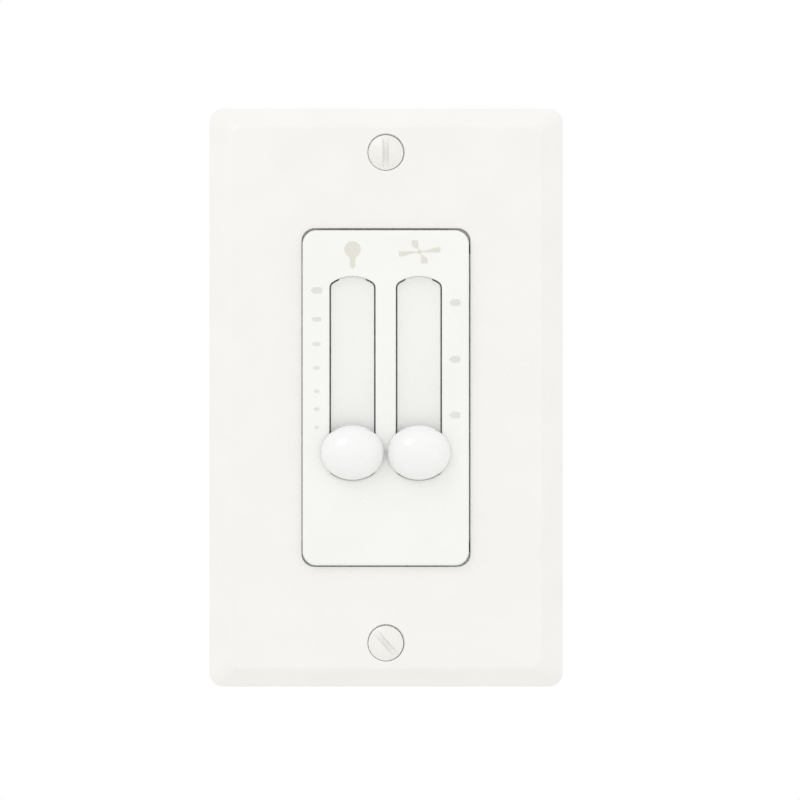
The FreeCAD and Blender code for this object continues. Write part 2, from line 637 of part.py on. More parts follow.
def box_screws():
    """Pan-head 6-32 screws with a relieved neck, so a washer keeps them in the yoke."""
    screws = []
    head = YOKE_Y - BOX_HEAD_H
    for s in (-1, 1):
        z = s * BOX_SCREW_Z
        profile = [(0, head), (2.6, head), (3.3, head + 0.5), (3.4, YOKE_Y), (NECK_R, YOKE_Y), (NECK_R, 0.35),
                   (SCREW_R, 0.4), (SCREW_R, 22.6), (1.2, 23.4), (0, 23.4)]
        slot = block(-0.5, 0.5, head - 1, head + 0.8, z - 4, z + 4)
        cross = block(-4, 4, head - 1, head + 0.8, z - 0.5, z + 0.5)
        screws.append(cut(turned(profile, 0, z), [slot, cross]))
    return Part.makeCompound(screws)


def screw_washers():
    """Fibre washers, pushed over the thread into the neck behind the yoke."""
    return Part.makeCompound([cut(rod_y(0, s * BOX_SCREW_Z, 3.7, YOKE_BACK, 0.2),
                                  [rod_y(0, s * BOX_SCREW_Z, NECK_R + 0.05, -2, 2)]) for s in (-1, 1)])


# ---- circuit board and what it carries ----

def triac_parts():
    """Power switch in a plastic package with a metal tab, flat against the yoke."""
    y0 = YOKE_BACK + MICA_T
    low, high = TRIAC_Z - TRIAC_HALF, TRIAC_Z + TRIAC_HALF
    end = TRIAC_X + TRIAC_BODY
    tab = cut(block(TRIAC_X - TRIAC_TAB, TRIAC_X, y0, y0 + 1.3, low, high),
              [rod_y(TRIAC_HOLE, TRIAC_Z, 1.85, -2, 2)])
    body = block(TRIAC_X, end, y0, y0 + TRIAC_H, low, high)
    body = body.makeChamfer(0.5, edges_at(body, y0 + TRIAC_H))
    legs = []
    leg_y, reach = y0 + 2.0, end + 2.2
    for k in (-1, 0, 1):
        z = TRIAC_Z + TRIAC_PITCH * k
        out = block(end, reach, leg_y, leg_y + LEAD, z - 0.4, z + 0.4)
        back = block(reach - LEAD, reach, leg_y, BOARD_BACK + PIN_END, z - 0.4, z + 0.4)
        legs.append(fuse([out, back]))
    mica = cut(block(TRIAC_X - 6.9, end + 0.3, YOKE_BACK, y0, low - 0.3, high + 0.3),
               [rod_y(TRIAC_HOLE, TRIAC_Z, 1.6, -2, 2)])
    profile = [(0, YOKE_Y), (1.48, YOKE_Y), (1.48, y0 + 1.3), (2.7, y0 + 1.3), (2.7, y0 + 2.6),
               (2.1, y0 + 3.2), (0, y0 + 3.3)]
    groove = block(TRIAC_X - 7, TRIAC_X, y0 + 2.4, y0 + 4, TRIAC_Z - 0.4, TRIAC_Z + 0.4)
    screw = cut(turned(profile, TRIAC_HOLE, TRIAC_Z), [groove])
    return tab, body, legs, mica, screw


def choke_core():
    """Ring of pressed iron powder, its axis along the depth."""
    x, z = CHOKE
    front = PARTS_Y + WINDING_END
    ring = cut(rod_y(x, z, CHOKE_R, front, front + CHOKE_H), [rod_y(x, z, CHOKE_EYE, PARTS_Y, PARTS_Y + 12)])
    return ring.makeFillet(0.8, ring.Edges)


def choke_leads(y0, y1):
    x, z = CHOKE
    return [square_lead(x + s * 3.2, z - 8.4, y0, y1, CHOKE_LEAD) for s in (-1, 1)]


def choke_winding():
    """Enamelled wire turned round the core, as one hollow ring with a gap at its start."""
    x, z = CHOKE
    back = PARTS_Y + CHOKE_H + 2 * WINDING_END
    outer = cut(rod_y(x, z, CHOKE_R + WINDING_SIDE, PARTS_Y, back),
                [rod_y(x, z, CHOKE_EYE - WINDING_SIDE, PARTS_Y - 1, back + 1)])
    outer = outer.makeFillet(1.6, outer.Edges)
    gap = block(x - 1.6, x + 1.6, PARTS_Y - 1, back + 1, z - 12, z)
    return fuse([cut(outer, [choke_core(), gap])] + choke_leads(BOARD_Y - 1.0, PARTS_Y + 1.0))


def boxed_part(x0, x1, z0, z1, height):
    """Moulded capacitor box on two leads spread along its longer side; gives it and its leads."""
    body = block(x0, x1, PARTS_Y, PARTS_Y + height, z0, z1)
    body = body.makeFillet(0.5, edges_at(body, PARTS_Y + height))
    cx, cz = (x0 + x1) / 2, (z0 + z1) / 2
    if z1 - z0 > x1 - x0:
        spots = [(cx, z0 + 2.0), (cx, z1 - 2.0)]
    else:
        spots = [(x0 + 2.0, cz), (x1 - 2.0, cz)]
    leads = pins(spots, BOARD_Y - 1.0, PARTS_Y)
    return fuse([body] + leads), leads


def axial_part(x, length, r):
    """Round part lying along Z at mid height on two bent leads; gives it and its leads."""
    y = PARTS_Y + r
    body = Part.makeCylinder(r, length, V(x, y, -length / 2), V(0, 0, 1))
    ends = [e for e in body.Edges if e.BoundBox.ZLength < FINE]
    body = body.makeFillet(r * 0.35, ends)
    half = LEAD / 2
    reach = length / 2 + 1.5
    leads = []
    for s in (-1, 1):
        along = block(x - half, x + half, y - half, y + half, s * (length / 2 - 0.1), s * reach)
        down = square_lead(x, s * (reach - half), BOARD_Y - 1.0, y + half)
        leads.append(fuse([along, down]))
    return fuse([body] + leads), leads


def trimmer():
    """Preset for the lowest light level: square body with a slotted rotor; with its leads."""
    x, z = TRIMMER
    half = TRIMMER_HALF
    body = block(x - half, x + half, PARTS_Y, PARTS_Y + 3.4, z - half, z + half)
    rotor = rod_y(x, z, 2.2, PARTS_Y + 3.4, PARTS_Y + 4.2)
    slot = block(x - 1.8, x + 1.8, PARTS_Y + 3.8, PARTS_Y + 5, z - 0.3, z + 0.3)
    leads = pins([(x + dx, z + dz) for dx, dz in TRIMMER_LEADS], BOARD_Y - 1.0, PARTS_Y)
    return cut(fuse([body, rotor] + leads), [slot]), leads


def circuit_board(leads):
    """Glass-epoxy board, notched for the posts, drilled for every lead."""
    half_w = HOUSING_HALF_W - HOUSING_WALL - 0.2
    half_h = HOUSING_HALF_H - HOUSING_WALL - 0.2
    board = block(-half_w, half_w, BOARD_Y, BOARD_BACK, -half_h, half_h)
    notches = [block(sx * 13.6, sx * 20, 0, 20, sz * 25.6, sz * 33) for sx, sz in corners(1, 1)]
    return cut(board, notches + leads)


# ---- write every piece ----

def export(nodes):
    os.makedirs("parts", exist_ok=True)
    for name, shape in nodes.items():
        if not shape.isValid():
            raise ValueError(name + " is not a valid solid")
        shape.exportStep("parts/" + name + ".step")
        print(name, len(shape.Solids), "solid(s)", round(shape.Volume, 2), "mm3")


def slider_nodes():
    """Liner, knob, clip and carriage at each slot."""
    nodes = {}
    for name, x in (("light", -SLOT_X), ("fan", SLOT_X)):
        for piece, shape in (("slot_liner_", slot_liner()), ("knob_", slider_knob()),
                             ("clip_", slider_clip()), ("carriage_", slider_carriage())):
            nodes[piece + name] = shape.translated(V(x, 0, 0))
    return nodes


def control_nodes():
    """The dimmer's slide potentiometer at the left slot, the fan's slide switch at the right."""
    pot_leads = pins(POT_PINS, TRACK_Y, BOARD_BACK + PIN_END)
    switch_leads = pins(SWITCH_PINS, TRACK_Y, BOARD_BACK + PIN_END)
    left = {
        "dimmer_case": control_case(METAL_WALL),
        "dimmer_track_board": track_board(METAL_WALL, pot_leads),
        "dimmer_tracks": dimmer_tracks(),
        "dimmer_lever": control_lever(METAL_WALL),
        "dimmer_wiper": contact_pair(WIPER_X, TRACK_Y - 0.1),
        "dimmer_pins": Part.makeCompound(pot_leads),
    }
    right = {
        "fan_switch_case": control_case(PLASTIC_WALL),
        "fan_switch_board": track_board(PLASTIC_WALL, switch_leads),
        "fan_switch_contacts": fan_contacts(),
        "fan_switch_lever": control_lever(PLASTIC_WALL),
        "fan_switch_bridge": contact_pair(CONTACT_X, TRACK_Y - 0.35),
        "fan_switch_pins": Part.makeCompound(switch_leads),
    }
    nodes = {name: shape.translated(V(-SLOT_X, 0, 0)) for name, shape in left.items()}
    nodes.update({name: shape.translated(V(SLOT_X, 0, 0)) for name, shape in right.items()})
    return nodes


def board_nodes():
    """The circuit board and every part whose leads go through it."""
    tab, body, legs, mica, triac_screw = triac_parts()
    nodes = {"triac_tab": tab, "triac_body": body, "triac_legs": Part.makeCompound(legs),
             "triac_pad": mica, "triac_screw": triac_screw,
             "choke_core": choke_core(), "choke_winding": choke_winding()}
    leads = legs + choke_leads(0, 20)
    leads += pins([(x - SLOT_X, z) for x, z in POT_PINS], 0, 20)
    leads += pins([(x + SLOT_X, z) for x, z in SWITCH_PINS], 0, 20)
    leads += [terminal_tail(side, z) for side, z in TERMINALS]

    def group(name, made):
        """One node from parts that each come with their leads."""
        shapes = [shape for shape, own_leads in made]
        nodes[name] = shapes[0] if len(shapes) == 1 else Part.makeCompound(shapes)
        for shape, own_leads in made:
            leads.extend(own_leads)

    group("noise_capacitor", [boxed_part(*NOISE_CAPACITOR)])
    group("fan_capacitor_low", [boxed_part(*FAN_CAPACITOR_LOW)])
    group("fan_capacitor_medium", [boxed_part(*FAN_CAPACITOR_MEDIUM)])
    group("timing_capacitors", [boxed_part(*sizes) for sizes in TIMING_CAPACITORS])
    group("resistors", [axial_part(*sizes) for sizes in RESISTORS])
    group("diac", [axial_part(*DIAC)])
    group("thermal_fuse", [axial_part(*THERMAL_FUSE)])
    group("trimmer", [trimmer()])
    nodes["circuit_board"] = circuit_board(leads)
    return nodes


def main():
    nodes = {"wall_plate": wall_plate(), "plate_screws": plate_screws(), "face_frame": face_frame()}
    nodes.update(slider_nodes())
    nodes.update(control_nodes())
    nodes.update(board_nodes())
    nodes["yoke"] = mounting_yoke()
    nodes["insulating_sheet"] = insulating_sheet()
    nodes["back_housing"] = back_housing()
    nodes["housing_screws"] = housing_screws()
    nodes["terminal_plates"] = terminal_plates()
    nodes["terminal_clamps"] = terminal_clamps()
    nodes["terminal_screws"] = terminal_screws()
    nodes["ground_screw"] = ground_screw()
    nodes["box_screws"] = box_screws()
    nodes["screw_washers"] = screw_washers()
    export(nodes)


main()
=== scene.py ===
import json
import math

import bmesh
import bpy
import numpy as np
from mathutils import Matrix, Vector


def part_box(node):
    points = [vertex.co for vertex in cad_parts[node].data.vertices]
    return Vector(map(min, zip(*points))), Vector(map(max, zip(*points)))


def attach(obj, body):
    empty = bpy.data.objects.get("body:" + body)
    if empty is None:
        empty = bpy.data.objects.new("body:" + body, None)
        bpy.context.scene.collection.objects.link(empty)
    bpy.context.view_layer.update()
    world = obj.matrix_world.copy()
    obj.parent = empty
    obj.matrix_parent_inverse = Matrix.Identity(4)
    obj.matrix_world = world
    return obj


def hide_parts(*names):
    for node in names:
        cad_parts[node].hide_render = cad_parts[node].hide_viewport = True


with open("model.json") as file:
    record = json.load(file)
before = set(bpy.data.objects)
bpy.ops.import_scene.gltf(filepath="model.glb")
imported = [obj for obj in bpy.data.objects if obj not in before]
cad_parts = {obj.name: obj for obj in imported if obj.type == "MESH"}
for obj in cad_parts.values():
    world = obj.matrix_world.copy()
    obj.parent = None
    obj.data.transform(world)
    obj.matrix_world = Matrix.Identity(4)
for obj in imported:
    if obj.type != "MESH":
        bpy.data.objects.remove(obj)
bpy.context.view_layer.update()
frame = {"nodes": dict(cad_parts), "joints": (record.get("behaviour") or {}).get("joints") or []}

# ---- camera ----
# A long lens square on to the cover plate, so its sides stay parallel and no side wall shows.
# The plate sits a little left of the middle of the view.

MM = 0.001
camera_data = bpy.data.cameras.new("camera")
camera = bpy.data.objects.new("camera", camera_data)
bpy.context.scene.collection.objects.link(camera)
view_width = 157.9 * MM
camera_distance = 3.0
sensor_width = 36.0
camera_data.sensor_width = sensor_width
camera_data.lens = sensor_width * camera_distance / view_width
camera_data.clip_start = 0.01
plate_low, plate_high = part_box("wall_plate")
view_middle = (2.82 * MM, -0.42 * MM)
camera.location = (view_middle[0], plate_low[1] - camera_distance, view_middle[1])
camera.rotation_euler = (math.pi / 2, 0, 0)
bpy.context.scene.camera = camera

# ---- light ----
# A white tent all round, one soft box above on the left, and a weak warm bounce from below
# on the right, so that bevels turned to the light are brighter than those turned away.

bpy.context.scene.view_settings.view_transform = "Standard"
world = bpy.data.worlds.new("tent")
bpy.context.scene.world = world
world.use_nodes = True
world.node_tree.nodes["Background"].inputs["Color"].default_value = (1.0, 1.0, 1.0, 1.0)
world.node_tree.nodes["Background"].inputs["Strength"].default_value = 1.0


def softbox(name, place, size, power, tint):
    """Square area light at a place in metres, turned to face the plate and itself unseen."""
    data = bpy.data.lights.new(name, "AREA")
    data.size = size
    data.energy = power
    data.color = tint
    light = bpy.data.objects.new(name, data)
    bpy.context.scene.collection.objects.link(light)
    light.location = place
    light.rotation_euler = light.location.to_track_quat("Z", "Y").to_euler()
    light.visible_camera = False


softbox("key_softbox", (-0.55, -0.75, 0.75), 0.5, 1.05, (1.0, 1.0, 0.99))
softbox("warm_bounce", (0.65, -0.55, -0.15), 0.4, 0.14, (1.0, 0.92, 0.76))

# ---- floor ----
# A sheet of matt white paper under the part.
# It is far enough below to catch no shadow in the front view.

def linear(hexa):
    """sRGB hex such as #F4F3EE to linear red, green, blue, alpha."""
    srgb = np.array([int(hexa[i:i + 2], 16) for i in (1, 3, 5)]) / 255
    straight = np.where(srgb <= 0.04045, srgb / 12.92, ((srgb + 0.055) / 1.055) ** 2.4)
    return (*straight, 1.0)


def add(tree, kind, inputs, **settings):
    """Adds a shader node: settings are its own options, inputs its sockets, linked or set."""
    made = tree.nodes.new("ShaderNode" + kind)
    for key, value in settings.items():
        setattr(made, key, value)
    for key, value in inputs.items():
        if isinstance(value, bpy.types.NodeSocket):
            tree.links.new(value, made.inputs[key])
        else:
            made.inputs[key].default_value = value
    return made


def start_material(name):
    """An empty material: itself, its node tree and the surface's Object coordinates."""
    made = bpy.data.materials.new(name)
    made.use_nodes = True
    made.node_tree.nodes.clear()
    return made, made.node_tree, add(made.node_tree, "TexCoord", {}).outputs["Object"]


def moulded(name, light, dark, roughness, grain_mm, depth_mm, ior=1.53, coat=0.0):
    """Moulded surface: a faint 9 mm cloud in its colour and gloss, over the mould's fine grain."""
    made, tree, place = start_material(name)
    cloud = add(tree, "TexNoise", {"Vector": place, "Scale": 1 / (9 * MM), "Detail": 3.0}).outputs["Fac"]
    share = add(tree, "MapRange", {"Value": cloud, "From Min": 0.35, "From Max": 0.65}).outputs["Result"]
    shade = add(tree, "Mix", {0: share, 6: linear(light), 7: linear(dark)}, data_type="RGBA").outputs[2]
    gloss = add(tree, "MapRange", {"Value": share, "To Min": roughness - 0.03,
                                   "To Max": roughness + 0.05}).outputs["Result"]
    grain = add(tree, "TexNoise", {"Vector": place, "Scale": 1 / (grain_mm * MM)}).outputs["Fac"]
    bump = add(tree, "Bump", {"Height": grain, "Distance": depth_mm * MM, "Strength": 1.0}).outputs["Normal"]
    shader = add(tree, "BsdfPrincipled", {"Base Color": shade, "Roughness": gloss, "IOR": ior,
                                          "Coat Weight": coat, "Normal": bump})
    add(tree, "OutputMaterial", {"Surface": shader.outputs["BSDF"]})
    return made


floor_z, floor_reach = -0.6, 4.0
floor_mesh = bpy.data.meshes.new("floor")
floor_mesh.from_pydata([(-floor_reach, -floor_reach, floor_z), (floor_reach, -floor_reach, floor_z),
                        (floor_reach, floor_reach, floor_z), (-floor_reach, floor_reach, floor_z)],
                       [], [(0, 1, 2, 3)])
floor = bpy.data.objects.new("floor", floor_mesh)
bpy.context.scene.collection.objects.link(floor)
# Uncoated paper: no gloss at all, a tooth of about 0.4 mm.
floor_mesh.materials.append(moulded("matt_paper", "#F7F7F5", "#F6F6F4", 0.9, 0.4, 0.004))

# ---- yoke ----
# The strap that everything is built on: 1.5 mm aluminium sheet, blanked and pierced in one
# stroke, with break-off wings and drawn collars. It also carries the triac's heat away.

def metal(name, light, dark, roughness, mark_mm, stretch, depth_mm, coat=0.0):
    """Bare or plated metal: marks of one width, drawn out by a factor along each axis, and 5 mm
    patches that are a shade darker where it was handled."""
    made, tree, place = start_material(name)
    scale = [1 / (mark_mm * MM * factor) for factor in stretch]
    drawn = add(tree, "Mapping", {"Vector": place, "Scale": scale}).outputs["Vector"]
    marks = add(tree, "TexNoise", {"Vector": drawn, "Scale": 1.0, "Detail": 4.0}).outputs["Fac"]
    patches = add(tree, "TexNoise", {"Vector": place, "Scale": 1 / (5 * MM)}).outputs["Fac"]
    share = add(tree, "MapRange", {"Value": patches, "From Min": 0.3, "From Max": 0.7}).outputs["Result"]
    shade = add(tree, "Mix", {0: share, 6: linear(light), 7: linear(dark)}, data_type="RGBA").outputs[2]
    gloss = add(tree, "MapRange", {"Value": marks, "From Min": 0.3, "From Max": 0.7,
                                   "To Min": roughness - 0.08, "To Max": roughness + 0.1}).outputs["Result"]
    bump = add(tree, "Bump", {"Height": marks, "Distance": depth_mm * MM, "Strength": 1.0}).outputs["Normal"]
    shader = add(tree, "BsdfPrincipled", {"Base Color": shade, "Roughness": gloss, "Metallic": 1.0,
                                          "Coat Weight": coat, "Normal": bump})
    add(tree, "OutputMaterial", {"Surface": shader.outputs["BSDF"]})
    return made


def wear(material, *nodes):
    """Gives pieces that keep their shape one material all over."""
    for node in nodes:
        for slot in frame["nodes"][node].material_slots:
            slot.material = material


# Mill-finish sheet: soft streaks down its length, where the rolls drew it out.
wear(metal("rolled_aluminium", "#C9CBCD", "#BDC0C3", 0.36, 0.25, (1, 1, 14), 0.002), "yoke")

# ---- insulating sheet ----
# Vulcanised fibre, 0.4 mm, punched to shape and trapped between the yoke and the housing.
# It keeps the live parts off the metal.

def pressed_fibre(name, light, dark):
    """Pressed pulp: streaks 0.15 mm wide and 2 mm long, with a gloss that drifts over 6 mm."""
    made, tree, place = start_material(name)
    width, length = 0.15 * MM, 2.0 * MM
    scale = (1 / width, 1 / width, 1 / length)
    laid = add(tree, "Mapping", {"Vector": place, "Scale": scale}).outputs["Vector"]
    strands = add(tree, "TexNoise", {"Vector": laid, "Scale": 1.0, "Detail": 5.0}).outputs["Fac"]
    share = add(tree, "MapRange", {"Value": strands, "From Min": 0.35, "From Max": 0.65}).outputs["Result"]
    shade = add(tree, "Mix", {0: share, 6: linear(light), 7: linear(dark)}, data_type="RGBA").outputs[2]
    cloud = add(tree, "TexNoise", {"Vector": place, "Scale": 1 / (6 * MM)}).outputs["Fac"]
    gloss = add(tree, "MapRange", {"Value": cloud, "From Min": 0.3, "From Max": 0.7, "To Min": 0.62,
                                   "To Max": 0.78}).outputs["Result"]
    bump = add(tree, "Bump", {"Height": strands, "Distance": 0.01 * MM, "Strength": 1.0}).outputs["Normal"]
    shader = add(tree, "BsdfPrincipled", {"Base Color": shade, "Roughness": gloss, "IOR": 1.54,
                                          "Normal": bump})
    add(tree, "OutputMaterial", {"Surface": shader.outputs["BSDF"]})
    return made


# Dull red-brown, like hard cardboard, with the pulp's grain showing.
vulcanised_fibre = pressed_fibre("vulcanised_fibre", "#824E3B", "#6A3C2C")
wear(vulcanised_fibre, "insulating_sheet")

# ---- dimmer control ----
# Slide potentiometer behind the left slot: a folded steel case, a paper laminate strip with
# two printed carbon tracks, and a nylon lever that carries a two-fingered wiper along them.

# Bright zinc over steel: silver grey with a fine crystal mottle.
zinc_plate = metal("bright_zinc_plate", "#C4C6C8", "#AEB2B6", 0.32, 0.3, (1, 1, 1), 0.002)
wear(zinc_plate, "dimmer_case")
# Phenolic paper laminate: brown and dull, the paper's strands just seen.
paper_laminate = pressed_fibre("phenolic_paper_laminate", "#93613A", "#7E4E2C")
wear(paper_laminate, "dimmer_track_board")
# Screen-printed carbon ink: flat black with a 0.08 mm grit.
wear(moulded("printed_carbon", "#1C1C1D", "#141415", 0.72, 0.08, 0.004, ior=1.6), "dimmer_tracks")
# Unfilled nylon straight from the mould: creamy, slightly waxy.
natural_nylon = moulded("natural_nylon", "#E6E2D5", "#DEDACB", 0.42, 0.4, 0.003)
wear(natural_nylon, "dimmer_lever")
# Phosphor bronze strip: orange metal with rolling lines along its length.
bronze_strip = metal("phosphor_bronze_strip", "#C08C54", "#A9763F", 0.26, 0.12, (1, 1, 10), 0.001)
wear(bronze_strip, "dimmer_wiper")
# Hot-tinned copper: bright and a little lumpy from the dip.
tinned_copper = metal("tinned_copper", "#CFCDC8", "#BFBDB7", 0.2, 0.5, (1, 1, 1), 0.006)
wear(tinned_copper, "dimmer_pins")

# ---- fan switch ----
# Four-position slide switch behind the right slot: an acetal case, a laminate strip with a
# rail and four studs, and a nylon lever whose bronze bridge joins the rail to one stud.

# Black acetal: dense, satin, with a greasy sheen.
wear(moulded("black_acetal", "#1F1F21", "#1A1A1C", 0.34, 0.35, 0.003, ior=1.48), "fan_switch_case")
wear(paper_laminate, "fan_switch_board")
wear(bronze_strip, "fan_switch_contacts", "fan_switch_bridge")
wear(natural_nylon, "fan_switch_lever")
wear(tinned_copper, "fan_switch_pins")

# ---- triac ----
# The dimmer's power switch: silicon moulded in black epoxy on a tinned copper tab, screwed
# flat to the yoke over a mica washer that insulates it and lets the heat through.

# Silica-filled epoxy: charcoal, matt, with a 0.15 mm grit from the eroded mould.
wear(moulded("eroded_black_epoxy", "#212122", "#1A1A1B", 0.66, 0.15, 0.008, ior=1.55), "triac_body")
wear(tinned_copper, "triac_tab", "triac_legs")
# Split mica: amber sheet with a pearly surface and cloudy layers.
wear(moulded("split_mica", "#CDC3A9", "#BCB090", 0.22, 1.6, 0.004, ior=1.58, coat=0.3), "triac_pad")
wear(zinc_plate, "triac_screw")

# ---- circuit board ----
# Glass cloth in epoxy under green lacquer, 1.6 mm, notched round the housing's four posts.
# Every pin and lead from both sides is soldered through it.

def lacquered_board():
    """Green lacquer over woven glass: two sets of 0.5 mm bands at right angles, multiplied."""
    made, tree, place = start_material("green_lacquered_glass_epoxy")
    band_period = 2 * math.pi / 20
    scale = band_period / (0.5 * MM)
    warp, weft = (add(tree, "TexWave", {"Vector": place, "Scale": scale, "Distortion": 0.6},
                      bands_direction=axis).outputs["Fac"] for axis in "XZ")
    cloth = add(tree, "Math", {0: warp, 1: weft}, operation="MULTIPLY").outputs[0]
    shade = add(tree, "Mix", {0: cloth, 6: linear("#2A5836"), 7: linear("#35683F")},
                data_type="RGBA").outputs[2]
    cloud = add(tree, "TexNoise", {"Vector": place, "Scale": 1 / (7 * MM)}).outputs["Fac"]
    gloss = add(tree, "MapRange", {"Value": cloud, "From Min": 0.3, "From Max": 0.7, "To Min": 0.24,
                                   "To Max": 0.34}).outputs["Result"]
    bump = add(tree, "Bump", {"Height": cloth, "Distance": 0.004 * MM, "Strength": 1.0}).outputs["Normal"]
    shader = add(tree, "BsdfPrincipled", {"Base Color": shade, "Roughness": gloss, "IOR": 1.55,
                                          "Normal": bump})
    add(tree, "OutputMaterial", {"Surface": shader.outputs["BSDF"]})
    return made


# Glossy lacquer sunk a little between the glass threads.
wear(lacquered_board(), "circuit_board")

# ---- choke ----
# Iron-powder ring with sixteen turns of 1.1 mm enamelled copper, which keeps switching noise
# off the mains. The ends go straight down through the board.

def skin(loops):
    """Quads between neighbouring closed loops that all have the same number of points."""
    rows = np.array(loops)
    count, width = rows.shape[:2]
    index = np.arange(count * width).reshape(count, width)
    a, b = index[:-1], index[1:]
    quads = np.stack([a, np.roll(a, -1, axis=1), np.roll(b, -1, axis=1), b], axis=-1).reshape(-1, 4)
    return rows.reshape(-1, 3), quads


def lid(loop):
    """A closed loop's flat end, as one face."""
    return np.array(loop), np.arange(len(loop))[None]


def closed_mesh(name, parts, scale):
    """Joins surfaces into one mesh: shared points merged, faces turned outward.

    A surface is its points and an array with one row of point numbers for each face."""
    starts = np.cumsum([0] + [len(points) for points, faces in parts])
    rows = [row for start, (points, faces) in zip(starts, parts) for row in (faces + start).tolist()]
    mesh = bpy.data.meshes.new(name)
    mesh.from_pydata(np.concatenate([points for points, faces in parts]) * scale, [], rows)
    bm = bmesh.new()
    bm.from_mesh(mesh)
    bmesh.ops.remove_doubles(bm, verts=bm.verts, dist=1e-4 * scale)
    bmesh.ops.recalc_face_normals(bm, faces=bm.faces)
    bm.to_mesh(mesh)
    bm.free()
    return mesh


def piece(name, parts, body, material, stands_for=()):
    """Makes a piece from surfaces in millimetres and rides it on its body; edges that turn more
    than 35 degrees stay crisp."""
    mesh = closed_mesh(name, parts, MM)
    mesh.polygons.foreach_set("use_smooth", [True] * len(mesh.polygons))
    mesh.set_sharp_from_angle(angle=math.radians(35))
    mesh.materials.append(material)
    made = bpy.data.objects.new(name, mesh)
    bpy.context.scene.collection.objects.link(made)
    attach(made, body)
    if stands_for:
        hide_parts(*stands_for)


core_low, core_high = (np.array(corner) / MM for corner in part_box("choke_core"))
core_mid = (core_low + core_high) / 2
choke_lead_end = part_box("choke_winding")[0][1] / MM
wire_r = 0.55


def wound_wire():
    """Wire round a ring. One angle goes about the ring from one side of its gap to the other,
    while a second goes round the ring's section sixteen times on a fifth-power superellipse.
    The first end comes up from the board and bends in on a quarter circle, and the last end
    runs straight down."""
    turns, gap, lead_r, bend_r, steps = 16, math.radians(20.9), 8.99, 1.0, 7
    middle_r, half_radial, half_axial = 6.7, 2.3 + wire_r + 0.1, 4.0 + wire_r + 0.1
    first = math.acos(((lead_r - bend_r - middle_r) / half_radial) ** 2.5)
    last = math.acos(((lead_r - middle_r) / half_radial) ** 2.5) + 2 * math.pi * turns
    across = np.linspace(first, last, turns * 40)
    c, s = np.cos(across), np.sin(across)
    radius = middle_r + half_radial * np.sign(c) * np.abs(c) ** 0.4
    depth = core_mid[1] - half_axial * np.sign(s) * np.abs(s) ** 0.4
    bend = np.linspace(0, math.pi / 2, steps + 1)[:-1]
    foot = depth[0] - bend_r
    radius = np.concatenate([np.full(steps, lead_r), lead_r - bend_r + bend_r * np.cos(bend), radius,
                             np.full(steps, lead_r)])
    depth = np.concatenate([np.linspace(choke_lead_end, foot, steps + 1)[:-1], foot + bend_r * np.sin(bend),
                            depth, np.linspace(depth[-1], choke_lead_end, steps + 1)[1:]])
    about = np.concatenate([np.full(2 * steps, gap), np.linspace(gap, 2 * math.pi - gap, len(across)),
                            np.full(steps, 2 * math.pi - gap)]) - math.pi / 2
    path = np.stack([core_mid[0] + radius * np.cos(about), depth,
                     core_mid[2] + radius * np.sin(about)], axis=1)
    ahead = np.gradient(path, axis=0)
    ahead /= np.linalg.norm(ahead, axis=1, keepdims=True)
    beside = np.stack([-np.sin(about), np.zeros(len(about)), np.cos(about)], axis=1)
    beside -= (beside * ahead).sum(axis=1, keepdims=True) * ahead
    beside /= np.linalg.norm(beside, axis=1, keepdims=True)
    above = np.cross(ahead, beside)
    round_wire = np.linspace(0, 2 * math.pi, 12, endpoint=False)
    return (path[:, None] + wire_r * (np.cos(round_wire)[None, :, None] * beside[:, None]
                                      + np.sin(round_wire)[None, :, None] * above[:, None]))


# Pressed iron powder under yellow lacquer: dull, with a 0.2 mm speckle.
wear(moulded("lacquered_iron_powder", "#CDB741", "#B39C2C", 0.5, 0.2, 0.01, ior=1.6), "choke_core")
# Enamelled copper: deep copper red under a clear glossy varnish.
enamelled_copper = metal("enamelled_copper", "#AC5A30", "#964826", 0.24, 0.4, (1, 1, 1), 0.001, coat=0.7)
wire_loops = wound_wire()
piece("choke_turns", [skin(wire_loops), lid(wire_loops[0]), lid(wire_loops[-1])], "device",
      enamelled_copper, ["choke_winding"])

# ---- capacitors, resistors, diac, fuse and trimmer ----
# Stock components stood on the back of the board on tinned leads. Two boxes set the fan's
# lower speeds, one filters noise, and the small ones time the dimmer.

